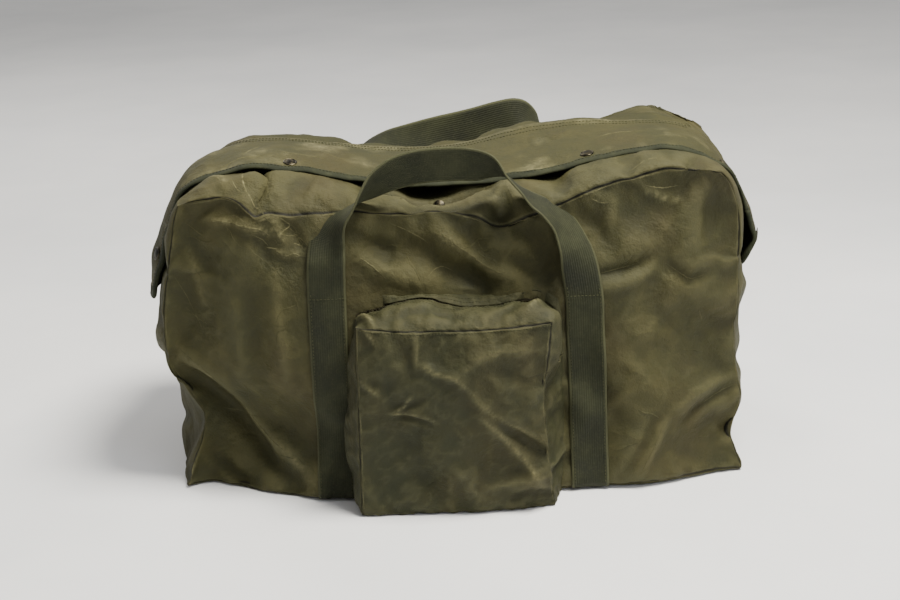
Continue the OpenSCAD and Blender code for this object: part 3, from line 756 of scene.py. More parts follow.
def waxed_canvas(name, dark, middle, light, earth, pale):
    """Waxed cotton duck in one dye lot. earth is the colour of dust in it, pale of dry wax."""
    material, tree, shader = new_material(name)
    where = add(tree, "TexCoord").outputs["Object"]
    threads = add(tree, "UVMap", {"uv_map": "threads"})
    worn, ridge, seam = (add(tree, "Attribute", {"attribute_name": stored}).outputs["Fac"]
                         for stored in ("worn", "ridge", "seam"))
    # The dye's tones, from broad clouds down to single yarns, with dust here and there.
    drawn_out = add(tree, "Mapping", None, Vector=where, Scale=(1.0, 1.0, 0.25))
    broad, spots, streaks, yarn, dust, grain = (
        add(tree, "TexNoise", None, Vector=place, Scale=scale, Detail=detail, Roughness=rough)
        for place, scale, detail, rough in (
            (where, 8.0, 7.0, 0.66), (where, 34.0, 5.0, 0.65), (drawn_out, 26.0, 3.0, 0.5),
            (where, 420.0, 2.0, 0.8), (where, 11.7, 3.0, 0.5), (where, 130.0, 4.0, 0.75)))
    cloud = broad
    for finer, part in ((spots, 0.35), (streaks, 0.22), (yarn, 0.16)):
        rest = add(tree, "Math", TIMES, n0=cloud, n1=1 - part)
        cloud = add(tree, "Math", ADDED, n0=finer, n1=part, n2=rest)
    colour = add(tree, "ValToRGB", {"stops": [(0.40, dark), (0.50, middle), (0.62, light)]}, Fac=cloud)
    dust, patchy, region = (
        add(tree, "MapRange", None, Value=value, From_Min=low, From_Max=high)
        for value, low, high in ((dust, 0.5, 0.72), (grain, 0.30, 0.66), (broad, 0.42, 0.62)))
    dust = add(tree, "Math", TIMES, n0=dust, n1=0.3)
    colour = add(tree, "Mix", BLEND, n0=dust, n6=colour, n7=earth).outputs[2]
    # Dry wax on ridges, creases and rubbed places; painted shade in the hollows and a painted dark line
    # of shadow along the seams.
    fine = creases(tree, where, 52.0, 3.0, 1.45, 2.2)
    coarse = creases(tree, where, 17.0, 3.0, 1.55, 2.2)
    lines = add(tree, "Math", LARGER, n0=fine, n1=coarse)
    lines = add(tree, "Math", TIMES, n0=lines, n1=region)
    rubbed = add(tree, "Math", TIMES, n0=worn, n1=0.6)
    chafe = add(tree, "Math", ADDED, n0=lines, n1=0.30, n2=rubbed)
    chafe = add(tree, "Math", TIMES, n0=chafe, n1=patchy)
    high = add(tree, "Math", LARGER, n0=ridge, n1=0.0)
    chafe = add(tree, "Math", ADDED | KEPT_IN, n0=high, n1=0.07, n2=chafe)
    colour = add(tree, "Mix", BLEND, n0=chafe, n6=colour, n7=pale).outputs[2]
    # Painted shade: the colour goes towards near black in the hollows of the folds and along the seams,
    # where shadow falls.
    hollow_shade = add(tree, "Math", TIMES | KEPT_IN, n0=ridge, n1=-0.6)
    hollow_shade = add(tree, "Math", TIMES, n0=hollow_shade, n1=0.3)
    seam = add(tree, "Math", TIMES | KEPT_IN, n0=seam, n1=1.1)
    shade = add(tree, "Math", LARGER, n0=hollow_shade, n1=seam)
    colour = add(tree, "Mix", BLEND, n0=shade, n6=colour, n7="100f09").outputs[2]
    tree.links.new(colour, shader.inputs["Base Color"])
    rough = add(tree, "MapRange", None, Value=cloud, From_Min=0.35, From_Max=0.65, To_Min=0.64,
                To_Max=0.80)
    rough = add(tree, "Math", ADDED, n0=chafe, n1=0.15, n2=rough)
    tree.links.new(rough.outputs[0], shader.inputs["Roughness"])
    shader.inputs["IOR"].default_value = 1.45
    shader.inputs["Specular IOR Level"].default_value = 0.32
    # Relief: the weave, and over it the facets and creases of crumpled cloth.
    warp, weft = (
        add(tree, "TexWave", {"bands_direction": way}, Vector=threads, Scale=262.0, Distortion=0.4,
            Detail=1.0, Detail_Scale=0.3).outputs["Fac"] for way in "XY")
    weave = add(tree, "Math", TIMES, n0=warp, n1=weft)
    bumps = add(tree, "Bump", None, Strength=0.5, Distance=0.0003, Height=weave)
    bent = add(tree, "TexNoise", None, Vector=where, Scale=14.0, Detail=2.0)
    bent = add(tree, "VectorMath", {"operation": "MULTIPLY_ADD"}, n0=bent.outputs["Color"],
               n1=(0.05,) * 3, n2=where)
    large, small = (
        add(tree, "TexVoronoi", {"feature": "DISTANCE_TO_EDGE"}, Vector=bent, Scale=scale)
        for scale in (15.0, 34.0))
    large = add(tree, "MapRange", None, Value=large, From_Max=0.4)
    facets = add(tree, "Math", ADDED, n0=small, n1=0.6, n2=large)
    facets = add(tree, "Math", TIMES, n0=facets, n1=region)
    crumple = fine
    for height, part in ((coarse, 1.2), (facets, 3.0), (spots, 1.6), (grain, 0.9)):
        crumple = add(tree, "Math", ADDED, n0=height, n1=part, n2=crumple)
    bumps = add(tree, "Bump", None, Strength=0.9, Distance=0.0013, Height=crumple, Normal=bumps)
    tree.links.new(bumps.outputs[0], shader.inputs["Normal"])
    return material


body_canvas = waxed_canvas("waxed_canvas", "2b2c16", "343319", "3d3a1e", "3a301a", "8c8762")


def dress(obj, material, slot, body, *nodes):
    """Gives a piece its material, its body and the solids it replaces; the slot it stands for is not
    used.
    """
    obj.data.materials.clear()
    obj.data.materials.append(material)
    if nodes:
        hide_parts(*nodes)
    if body:
        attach(obj, body)
    return obj


def turned_edge(obj, thick):
    """Gives cloth its thickness, inwards."""
    solid = obj.modifiers.new("thickness", "SOLIDIFY")
    solid.thickness = thick
    solid.offset = -1
    applied(obj, solid)


# ---- Storm flap with its two end tongues ----
# Two plies of the same canvas in one piece: sewn along its rear edge, loose in front, and
# running on down both ends as tongues. Every rib runs from the rear edge to the front one.


def through(keys, per):
    """Smooth values through evenly spaced keys, with the same number of steps between each."""
    keys = np.asarray(keys, float)
    before = 2 * keys[:1] - keys[1:2]
    after = 2 * keys[-1:] - keys[-2:-1]
    k = np.concatenate([before, keys, after])
    t = (np.arange(per) / per).reshape((1, per) + (1,) * (keys.ndim - 1))
    a, b, c, d = (k[i : len(k) - 3 + i][:, None] for i in range(4))
    made = 0.5 * (2 * b + (c - a) * t + (2 * a - 5 * b + 4 * c - d) * t**2
                  + (3 * b - a - 3 * c + d) * t**3)
    return np.concatenate([made.reshape((-1,) + keys.shape[1:]), keys[-1:]])


hinge_y, edge_y = 35, -95  # the flap's rear and front edges over the top

# Ribs down the ends: x, y and z at the rear, then x and z at each of three places further
# forward. Ribs over the top: x at the rear and in front, and z at all four places.
forward = (-20, -60, edge_y)
left_ribs = [
    (-317, 19, 207, -320, 203, -323, 202, -316, 204),
    (-318, 20, 226, -322, 225, -321, 225, -310, 227),
    (-317, 20, 244, -319, 244, -319, 244, -305, 245),
    (-313, 20, 262, -313, 262, -311, 263, -299, 263),
    (-308, 20, 280, -306, 280, -304, 281, -293, 280),
    (-296, 21, 296, -297, 298, -298, 297, -287, 298),
    (-284, 27, 310, -288, 315, -289, 315, -280, 315),
    (-273, 33, 322, -276, 330, -277, 328, -267, 326),
    (-256, 35, 329, -257, 341, -258, 339, -256, 332),
]
top_ribs = [
    (-240, -241, 338, 346, 343, 336), (-219, -210, 344, 348, 348, 343),
    (-175, -179, 343, 347, 346, 342), (-131, -135, 337, 341, 341, 335),
    (-102, -103, 333, 336, 334, 327), (-60, -60, 330, 331, 327, 321), (-20, -20, 329, 330, 325, 318),
    (20, 20, 333, 331, 326, 320), (60, 60, 343, 336, 330, 323), (101, 101, 351, 343, 337, 328),
    (135, 135, 353, 348, 343, 337), (165, 165, 353, 351, 348, 343), (209, 206, 351, 353, 353, 349),
    (240, 236, 348, 351, 352, 347), (258, 257, 343, 345, 346, 340),
]
right_ribs = [
    (274, 34, 333, 274, 335, 273, 335, 272, 334), (288, 28, 318, 287, 321, 286, 323, 285, 326),
    (301, 22, 301, 300, 305, 299, 307, 297, 306), (309, 20, 280, 310, 280, 311, 280, 306, 281),
    (313, 20, 262, 315, 262, 316, 263, 311, 264), (314, 20, 248, 317, 247, 319, 248, 315, 250),
    (312, 20, 232, 312, 231, 311, 232, 308, 235), (310, 20, 219, 308, 218, 306, 218, 303, 221),
]


def end_rib(x, y, z, *rest):
    """Four places along a rib that lies on an end."""
    return [(x, y, z)] + list(zip(rest[::2], forward, rest[1::2]))


left_ribs = [end_rib(*rib) for rib in left_ribs]
right_ribs = [end_rib(*rib) for rib in right_ribs]
top_ribs = [[(a, hinge_y, z0), (a * 0.7 + b * 0.3, forward[0], z1),
             (a * 0.3 + b * 0.7, forward[1], z2), (b, edge_y, z3)]
            for a, b, z0, z1, z2, z3 in top_ribs]
per_rib, per_place = 6, 7  # steps from rib to rib, and from place to place along one
flap_rows = through(np.array(left_ribs + top_ribs + right_ribs, float) * mm, per_rib)
flap_rows = through(flap_rows.swapaxes(0, 1), per_place).swapaxes(0, 1)
left_fold = 4 * per_rib
right_fold = (len(left_ribs) + len(top_ribs) + 3) * per_rib


def facing(rows):
    """Unit normals of a grid of points."""
    across = np.gradient(rows, axis=1)
    along_it = np.gradient(rows, axis=0)
    normal = np.cross(across, along_it)
    return normal / np.linalg.norm(normal, axis=2)[:, :, None]


def wavy(rows, size, depth, seed, octaves=2):
    """Smooth random heights over a grid of points."""
    flat = rows.reshape(-1, 3) / size + [seed * 1.7, seed * 3.1, seed * 0.9]
    height = [noise.fractal(Vector(p), 1.0, 2.0, octaves) for p in flat.tolist()]
    return np.array(height).reshape(rows.shape[:2] + (1,)) * depth


def narrowed(rows, radius):
    """Rounds both corners of a grid's first row."""
    mid = rows[:, rows.shape[1] // 2]
    run = distances(mid)
    inset = radius - np.sqrt(np.maximum(radius**2 - np.maximum(radius - run, 0) ** 2, 0))
    rows = rows.copy()
    for i in np.nonzero(inset > 1e-5)[0]:
        s = distances(rows[i])
        rows[i] = at_distances(np.linspace(inset[i], s[-1] - inset[i], len(s)), s, rows[i])
    return rows


def finer_start(rows):
    """Puts three more rows between the first two, so that rounded corners come out round."""
    extra = np.array([0.25, 0.5, 0.75])
    more = rows[0] * (1 - extra[:, None, None]) + rows[1] * extra[:, None, None]
    return np.concatenate([rows[:1], more, rows[1:]])


# Gentle waves all over the flap, and livelier ones towards its loose front edge.
flap_rows = flap_rows + facing(flap_rows) * (wavy(flap_rows, 0.055, 1.6 * mm, 3)
                                             + wavy(flap_rows, 0.022, 0.5 * mm, 5))
loose = np.linspace(0, 1, flap_rows.shape[1])[None, :, None] ** 4
flap_rows = flap_rows + facing(flap_rows) * wavy(flap_rows, 0.03, 2.0 * mm, 9) * loose
clear = 500 * mm  # well away from the bag on any side


def tree_of(rows):
    """Search tree over a grid of points."""
    n, m = rows.shape[:2]
    k = np.arange(n * m).reshape(n, m)
    quads = np.stack([k[:-1, :-1], k[:-1, 1:], k[1:, 1:], k[1:, :-1]], axis=-1).reshape(-1, 4)
    return BVHTree.FromPolygons(rows.reshape(-1, 3).tolist(), quads.tolist())


def drop(tree, x, y):
    """Where a line straight down meets a surface, and the surface's normal there."""
    return tree.ray_cast(Vector((x, y, clear)), Vector((0, 0, -1)))[:2]


def pressed(obj, rows, gap, panels, edge):
    """Presses the body's top down so that it stays below the flap and eases out past its edge."""
    mesh = obj.data
    co = places(mesh)
    high = tags(mesh)[1]
    over = tree_of(rows)
    pick = np.nonzero(np.isin(high, panels) & (co[:, 2] > 250 * mm))[0]
    for i in pick:
        x, y, z = co[i]
        inside = min(max(y, (edge_y + 2) * mm), (hinge_y - 1) * mm)
        hit = drop(over, x, inside)[0]
        if hit:
            room = gap if inside == y else gap - abs(y - inside) * edge
            co[i, 2] = min(z, hit.z - room)
    move(mesh, co)


pressed(shell, flap_rows, gap=3.2 * mm, panels=(FRONT_STRIP, REAR_STRIP), edge=0.9)
shell_tree = BVHTree.FromObject(shell, bpy.context.evaluated_depsgraph_get())
turned_edge(shell, 1.6 * mm)
dress(shell, body_canvas, "body_canvas", "bag", "front_panel", "rear_panel", "bottom_panel",
      "left_end_panel", "right_end_panel", "front_top_strip", "rear_top_strip")


def pinches(name, groups, material, slot, body="bag"):
    """Sharp creases pinched into worn cloth: slim ridges, pale with dry wax, that taper out at
    both ends. Each group is a surface, a direction to look along, and its creases: places in
    mm, a width in mm and how pale the crease is."""
    rng = np.random.default_rng(11)
    points, faces, pale = [], [], []
    for tree, towards, creased in groups:
        for places_mm, width, wax in creased:
            path = np.array(places_mm, float) * mm - np.array(towards, float) * 0.2
            length = np.linalg.norm(np.diff(path, axis=0), axis=1).sum()
            path = line(path / mm, max(int(length / (2 * mm)), 4), fine=False)
            hits = [tree.ray_cast(Vector(p), Vector(towards)) for p in path]
            if any(h[0] is None for h in hits):
                continue
            on = np.array([h[0] for h in hits])
            up = np.array([h[1] if h[1].dot(Vector(towards)) < 0 else -h[1] for h in hits])
            if np.linalg.norm(np.diff(on, axis=0), axis=1).max() > 9 * mm:
                continue
            ahead = np.gradient(on, axis=0)
            side = unit(np.cross(ahead, up))
            on = on + side * rng.normal(0, 0.15 * mm, len(on))[:, None]
            taper = np.sin(np.pi * np.linspace(0.02, 0.98, len(on))) ** 0.6
            wide = (taper * width * rng.uniform(0.75, 1.15, len(on)))[:, None] * mm
            rows = np.stack([on - side * wide / 2 - up * 0.1 * mm, on + up * wide * 0.32,
                             on + side * wide / 2 - up * 0.1 * mm], axis=1)
            base = len(points)
            points += rows.reshape(-1, 3).tolist()
            pale += [wax * t for t in np.repeat(taper, 3)]
            for i in range(len(on) - 1):
                for k in (0, 1):
                    a = base + 3 * i + k
                    faces.append((a, a + 1, a + 4, a + 3))
    data = mesh_of(name, points, faces)
    point_values(data, "worn", pale)
    thread_map(data, np.array(points)[corner_points(data)][:, :2])
    return dress(placed(name, data), material, slot, body)


def stray(seed, count, low_corner, high_corner, flat_axes, slant):
    """Short random creases over a rectangle of a panel, most of them along one slant."""
    rng = np.random.default_rng(seed)
    made = []
    for _ in range(count):
        at = rng.uniform(low_corner, high_corner)
        angle = slant + rng.normal(0, 0.7)
        kink = rng.normal(0, 0.12)
        size = rng.uniform(7, 22)
        places_mm = []
        for t, off in ((-1, 0), (-0.3, kink), (0.2, -kink), (1, 0)):
            p = np.zeros(3)
            way = np.array([math.cos(angle), math.sin(angle)])
            p[flat_axes] = at + size * (t * way + off * way[::-1] * [-1, 1])
            places_mm.append(p)
        made.append((places_mm, rng.uniform(1.3, 2.2), rng.uniform(0.03, 0.18)))
    return made


def seen(creases):
    """Creases of an upright panel, their places given by x and z."""
    return [([(x, 0, z) for x, z in at], width, wax) for at, width, wax in creases]


def laid(creases):
    """Creases of a lying panel, their places given by x and y."""
    return [([(x, y, 300) for x, y in at], width, wax) for at, width, wax in creases]


AHEAD, BACK, DOWN = (0, 1, 0), (0, -1, 0), (0, 0, -1)
front_creases = seen([
    ([(-251, 298), (-235, 300), (-212, 296), (-190, 290), (-178, 279)], 2.2, 0.8),
    ([(-186, 303), (-170, 301), (-163, 293), (-172, 287), (-160, 283), (-150, 286)], 1.5, 0.8),
    ([(-204, 288), (-192, 281), (-184, 272)], 1.4, 0.5),
    ([(-188, 272), (-176, 271)], 2.2, 0.9), ([(-160, 276), (-150, 272)], 1.8, 0.8),
    ([(-172, 262), (-158, 266), (-150, 262)], 1.5, 0.7),
    ([(-288, 240), (-276, 214), (-258, 170)], 1.4, 0.3),
    ([(-282, 206), (-262, 190), (-246, 186)], 1.3, 0.35),
    ([(-290, 158), (-264, 137), (-241, 109), (-226, 88), (-207, 66), (-184, 48)], 2.2, 0.4),
    ([(-290, 12), (-286, 40), (-280, 64)], 2.4, 0.8),
    ([(-98, 263), (-82, 252), (-66, 237)], 1.5, 0.7),
    ([(-62, 292), (-40, 282), (-22, 270)], 1.4, 0.5),
    ([(-14, 286), (8, 268), (38, 246), (58, 238)], 1.6, 0.45),
    ([(146, 234), (168, 238), (190, 243)], 1.5, 0.35),
    ([(216, 242), (232, 230), (241, 224), (258, 227)], 1.5, 0.35),
    ([(196, 322), (215, 318), (232, 320)], 1.8, 0.8),
    ([(140, 312), (152, 306), (166, 306)], 1.4, 0.6),
    ([(214, 72), (203, 46), (191, 22)], 1.6, 0.3),
    ([(292, 100), (275, 93), (254, 83)], 1.6, 0.4),
    ([(-30, 236), (-12, 246), (2, 240)], 1.2, 0.4),
])
worn_corner = [(at, width * 0.7, wax * 1.8)
               for at, width, wax in stray(28, 22, (-262, 262), (-150, 303), XZ, -0.5)]
strip_creases = laid([
    ([(-211, -96), (-211, -110), (-209, -122), (-205, -130), (-199, -134), (-191, -135)], 2.4, 1.0),
    ([(-246, -104), (-236, -112), (-231, -124)], 1.6, 0.7),
    ([(-222, -116), (-216, -126), (-208, -132)], 1.5, 0.7),
    ([(-82, -117), (-45, -121), (-8, -124), (14, -118)], 1.6, 0.4),
    ([(66, -132), (60, -118), (56, -104)], 1.5, 0.4),
    ([(180, -128), (200, -122), (222, -126)], 1.5, 0.6),
])
end_creases = stray(3, 12, (-90, 30), (90, 210), YZ, 0.4)
groups = [
    (shell_tree, AHEAD, front_creases + worn_corner + stray(21, 14, (-270, 30), (-150, 290), XZ, -0.7)
     + stray(22, 6, (150, 30), (280, 300), XZ, 0.4)
     + stray(23, 5, (-100, 225), (100, 285), XZ, -0.6)),
    (shell_tree, DOWN, strip_creases + stray(24, 9, (-230, -132), (230, -100), XY, 0.8)
     + stray(25, 8, (-230, 60), (230, 120), XY, -0.8)),
    (shell_tree, BACK, stray(26, 13, (-270, 30), (-155, 280), XZ, -0.6)
     + stray(27, 17, (-110, 30), (270, 290), XZ, 0.5)),
    (shell_tree, (1, 0, 0), end_creases),
    (shell_tree, (-1, 0, 0), end_creases),
]
# Seam edges rub pale too: short creases one after another, just inside each seam.
seam_edges = [
    (AHEAD, front_top - [0, 0, 2.2 * mm], 0.45), (AHEAD, front_left_low + [2.2 * mm, 0, 0], 0.3),
    (AHEAD, front_right_low - [2.2 * mm, 0, 0], 0.3), (BACK, rear_top - [0, 0, 2.2 * mm], 0.35),
]
for towards, path, wax in seam_edges:
    for start in range(2, len(path) - 10, 9):
        groups.append((shell_tree, towards, [(path[start : start + 9] / mm, 1.3, wax)]))
pinches("body_creases", groups, body_canvas, "body_canvas")


def face_out(data):
    """Turns all of a mesh's faces outwards."""
    net = bmesh.new()
    net.from_mesh(data)
    bmesh.ops.recalc_face_normals(net, faces=net.faces)
    net.to_mesh(data)
    net.free()


def band(name, top, bottom, wear=None):
    """Closed piece between two grids of points, with rounded edges."""
    n, m = top.shape[:2]

    def rim(a, b):
        mid = (top[:, a] + bottom[:, a]) / 2
        out = unit(mid - (top[:, b] + bottom[:, b]) / 2)
        thick = np.linalg.norm(top[:, a] - bottom[:, a], axis=1)[:, None]
        return (mid + out * thick * 0.35)[:, None]

    ring = np.concatenate([top, rim(-1, -2), bottom[:, ::-1], rim(0, 1)], axis=1)
    k = 2 * m + 2
    at = np.arange(n * k).reshape(n, k)
    after = np.roll(at, -1, axis=1)
    sides = np.stack([at[:-1], after[:-1], after[1:], at[1:]], axis=-1).reshape(-1, 4).tolist()
    j = np.arange(m - 1)
    cap = np.stack([j, j + 1, 2 * m - j - 1, 2 * m - j], axis=-1)
    ends = cap[:, ::-1].tolist() + (cap + (n - 1) * k).tolist()
    tips = [(m - 1, m, m + 1), (0, 2 * m, 2 * m + 1)]
    tips = [t[::-1] for t in tips] + [tuple(i + (n - 1) * k for i in t) for t in tips]
    data = mesh_of(name, ring, sides + ends + tips)
    across = spans(top, 1)
    u = np.concatenate([across, across[-1:], across[::-1], across[:1]])
    flat = np.stack([np.tile(u, n), np.repeat(spans(top, 0), k)], axis=1)
    thread_map(data, flat[corner_points(data)])
    if wear is not None:
        full = np.concatenate([wear, wear[:, -1:], wear[:, ::-1] * 0.3, wear[:, :1]], axis=1)
        point_values(data, "worn", full)
    face_out(data)
    return placed(name, data)


def thickened(rows, thick):
    """Both faces of a sheet round a grid of points."""
    normal = facing(rows)
    return rows + normal * thick / 2, rows - normal * thick / 2


def chafed(rows, edge, seed):
    """Wear over a sheet: along its edges and in a few rubbed places."""
    across = np.abs(np.linspace(-1, 1, rows.shape[1]))[None, :, None]
    spots = np.clip(wavy(rows, 0.05, 1.6, seed, 3) - 0.25, 0, 1)
    return np.clip(edge * across**14 + spots * 0.8, 0, 1)[:, :, 0]


flap_thick = 2.4 * mm
flap_mid = flap_rows[left_fold : right_fold + 1]
left_rows = narrowed(finer_start(flap_rows[: left_fold + 1]), 15 * mm)
right_rows = narrowed(finer_start(flap_rows[right_fold:][::-1]), 15 * mm)[::-1]
flap = band("flap_canvas", *thickened(flap_mid, flap_thick), wear=chafed(flap_mid, 0.5, 4))
dress(flap, body_canvas, "flap_canvas", None, "storm_flap")
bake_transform(flap)
tongue = band("left_tongue_canvas", *thickened(left_rows, flap_thick), wear=chafed(left_rows, 0.6, 6))
dress(tongue, body_canvas, "flap_canvas", None, "left_tongue")
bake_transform(tongue)
tongue = band("right_tongue_canvas", *thickened(right_rows, flap_thick), wear=chafed(right_rows, 0.6, 8))
dress(tongue, body_canvas, "flap_canvas", None, "right_tongue")
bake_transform(tongue)

flap_creases = laid([
    ([(-217, -62), (-210, -42), (-201, -16)], 1.8, 0.7),
    ([(-240, -82), (-216, -68), (-190, -62)], 1.5, 0.45),
    ([(-186, -48), (-152, -52), (-120, -58)], 1.4, 0.4),
    ([(-140, -30), (-122, -42), (-104, -46)], 1.3, 0.4),
    ([(150, -40), (176, -30), (206, -34)], 1.4, 0.5),
    ([(212, -60), (236, -52), (252, -60)], 1.4, 0.4),
])
pinches("flap_creases", [(tree_of(flap_rows + facing(flap_rows) * flap_thick / 2), DOWN, flap_creases
                          + stray(31, 14, (-240, -80), (240, 5), XY, 0.3))],
        body_canvas, "flap_canvas", "flap")

# ---- Edge tape ----
# Herringbone cotton tape folded over the flap's loose edges and sewn through with one row of
# lockstitch in a slightly paler thread.


def cotton(name, base, other):
    """Cotton tape or thread: matt, slightly uneven, with fine slanting ribs."""
    material, tree, shader = new_material(name)
    where = add(tree, "TexCoord").outputs["Object"]
    threads = add(tree, "UVMap", {"uv_map": "threads"})
    cloud = add(tree, "TexNoise", None, Vector=where, Scale=60.0, Detail=4.0, Roughness=0.7)
    colour = add(tree, "ValToRGB", {"stops": [(0.36, base), (0.66, other)]}, Fac=cloud)
    tree.links.new(colour.outputs[0], shader.inputs["Base Color"])
    shader.inputs["Roughness"].default_value = 0.85
    shader.inputs["IOR"].default_value = 1.5
    shader.inputs["Specular IOR Level"].default_value = 0.25
    ribs = add(tree, "TexWave", {"bands_direction": "DIAGONAL"}, Vector=threads, Scale=230.0)
    bump = add(tree, "Bump", None, Strength=0.5, Distance=0.0003, Height=ribs.outputs["Fac"])
    tree.links.new(bump.outputs[0], shader.inputs["Normal"])
    return material


tape_cotton = cotton("cotton_tape", "1b1f12", "2d301e")
thread_cotton = cotton("cotton_thread", "2e301e", "43442c")


def stitches(name, runs, pitch=3.6 * mm, thick=0.75 * mm):
    """Rows of lockstitch. Each run is its points and the unit normals it lies on."""
    points, faces = [], []
    for path, normal in runs:
        run = distances(path)
        count = max(int(run[-1] / pitch), 1)
        # A stitch fills about three quarters of its pitch, and its ends dip into the cloth.
        start = (np.arange(count) + 0.12) * run[-1] / count
        up = at_distances(start, run, normal)
        a = at_distances(start, run, path)
        b = at_distances(start + 0.76 * run[-1] / count, run, path)
        ahead = b - a
        side = unit(np.cross(ahead, up))
        lift = up * thick * 0.3
        rings = [a - lift]
        for t in (0.22, 0.78):
            mid = a + ahead * t + lift
            rings += [mid + side * thick / 2, mid + up * thick / 2, mid - side * thick / 2,
                      mid - up * thick / 2]
        rings.append(b - lift)
        made = np.stack(rings, axis=1)
        base = len(points) * 10
        points.extend(made)
        shape = [(0, 1 + (k + 1) % 4, 1 + k) for k in range(4)]
        shape += [(1 + k, 1 + (k + 1) % 4, 5 + (k + 1) % 4, 5 + k) for k in range(4)]
        shape += [(9, 5 + k, 5 + (k + 1) % 4) for k in range(4)]
        for i in range(count):
            faces += [tuple(base + 10 * i + q for q in f) for f in shape]
    return placed(name, mesh_of(name, points, faces))


def column(rows, normal, at, raise_by):
    """Line along a grid at a real-valued column, with its normals."""
    k = min(int(at), rows.shape[1] - 2)
    t = at - k
    path = rows[:, k] * (1 - t) + rows[:, k + 1] * t
    up = normal[:, k] * (1 - t) + normal[:, k + 1] * t
    return path + up * raise_by, up


def bound_edge(name, edge, inward, normal, wide=9 * mm, half=1.8 * mm, thick=0.6 * mm):
    """Tape folded over an edge: a U-shaped section carried along it."""
    wobble = 1 + 0.06 * np.sin(np.arange(len(edge)) * 1.7)[:, None]
    outer = [(wide, half), (wide * 0.5, half + 0.15 * mm), (1 * mm, half), (-0.7 * mm, half * 0.55),
             (-1.1 * mm, 0), (-0.7 * mm, -half * 0.55), (1 * mm, -half), (wide * 0.5, -half),
             (wide, -half)]
    inner = [(a + (thick if -1 < b / half < 1 else 0), b - math.copysign(thick, b) * (abs(b) > 0.1 * mm))
             for a, b in outer]
    grids = [np.stack([edge + inward * a * wobble + normal * b for a, b in side], axis=1)
             for side in (outer, inner)]
    return band(name, *grids)


def edge_frame(rows, first):
    """Edge of a grid with the direction into the sheet and its normal."""
    normal = facing(rows)
    a, b = (0, 1) if first else (-1, -2)
    return rows[:, a], unit(rows[:, b] - rows[:, a]), normal[:, a]


def relax(values, times=1):
    """Smooths rows of values along a line in place, with its two ends kept."""
    for _ in range(times):
        values[1:-1] = (values[:-2] + 2 * values[1:-1] + values[2:]) / 4


def tongue_rim(rows):
    """Outline of a tongue from its rear fold line round the tip to its front one."""
    normal = facing(rows)
    ring = np.concatenate([rows[::-1, 0], rows[0, 1:-1], rows[:, -1]])
    up = np.concatenate([normal[::-1, 0], normal[0, 1:-1], normal[:, -1]])
    keep = np.concatenate([[True], np.linalg.norm(np.diff(ring, axis=0), axis=1) > 0.4 * mm])
    ring, up = ring[keep], up[keep]
    run = np.gradient(ring, axis=0)
    relax(run, 3)
    inward = unit(np.cross(up, run))
    centre = rows[len(rows) // 2, rows.shape[1] // 2]
    if np.mean(np.einsum("ij,ij->i", inward, centre - ring)) < 0:
        inward = -inward
    return ring, inward, up


edge, inward, up = edge_frame(flap_mid, False)
tape = bound_edge("flap_binding", edge, inward, up)
dress(tape, tape_cotton, "cotton_tape", "flap", "flap_edge_tape")
sewn = stitches("flap_binding_stitches", [(edge + inward * 7 * mm + up * 1.9 * mm, up)])
dress(sewn, thread_cotton, "cotton_tape", "flap")
for side, rows in (("left", left_rows), ("right", right_rows[::-1])):
    edge, inward, up = tongue_rim(rows)
    if side == "right":
        up = -up
    tape = bound_edge(side + "_tongue_binding", edge, inward, up, half=2.4 * mm)
    dress(tape, tape_cotton, "cotton_tape", None, side + "_tongue_tape")
    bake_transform(tape)
    sewn = stitches(side + "_tongue_stitches", [(edge + inward * 7 * mm + up * 2.5 * mm, up)])
    dress(sewn, thread_cotton, "cotton_tape", None)
    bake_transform(sewn)

# The flap's hem: a flat strip of canvas that holds its rear edge to the rear top strip, sewn
# through with two rows, and two rows of stitching on the flap's own edge. Its corners are cut
# round.
hem_half, hem_corner = 265 * mm, 26 * mm
hem_x = np.linspace(-264, 264, 89) * mm
hem_y = np.array([33.6, 36, 41, 46, 51]) * mm
hem = np.zeros((len(hem_x), len(hem_y), 3))
flap_rear = flap_mid[:, 0]
for i, x in enumerate(hem_x):
    sewn_z = np.interp(x, flap_rear[:, 0], flap_rear[:, 2])
    rounded = min(1, max(0.15, (hem_half - abs(x)) / hem_corner)) ** 0.6
    for j, y in enumerate(hem_y[0] + (hem_y - hem_y[0]) * rounded):
        hit = drop(shell_tree, x, y)[0]
        hem[i, j] = (x, y, (hit.z if hit else 0.33) + 1.2 * mm)
    slope = sewn_z + (hem[i, -1, 2] - sewn_z) * (hem_y - hem_y[0]) / (hem_y[-1] - hem_y[0])
    hem[i, :, 2] = np.maximum(hem[i, :, 2], slope)
    hem[i, 0, 2] = sewn_z - 0.2 * mm
hem_band = band("flap_hem_canvas", *thickened(hem, 2.0 * mm))
dress(hem_band, body_canvas, "flap_canvas", "bag", "flap_hem")
rows = [column(hem, facing(hem), at, 1.05 * mm) for at in (1.5, 3.6)]
dress(stitches("flap_hem_stitches", rows), thread_cotton, "cotton_tape", "bag")
flap_up = facing(flap_mid)
rows = [column(flap_mid[24:-24], flap_up[24:-24], at, 1.3 * mm) for at in (1.2, 2.4)]
sewn = stitches("flap_rear_stitches", rows)
dress(sewn, thread_cotton, "cotton_tape", None)
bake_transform(sewn)

# ---- Press studs ----
# Four-part brass studs with a black finish that has worn back on the rims: a domed cap and a
# socket through the flap or tongue, over a stud on the bag.


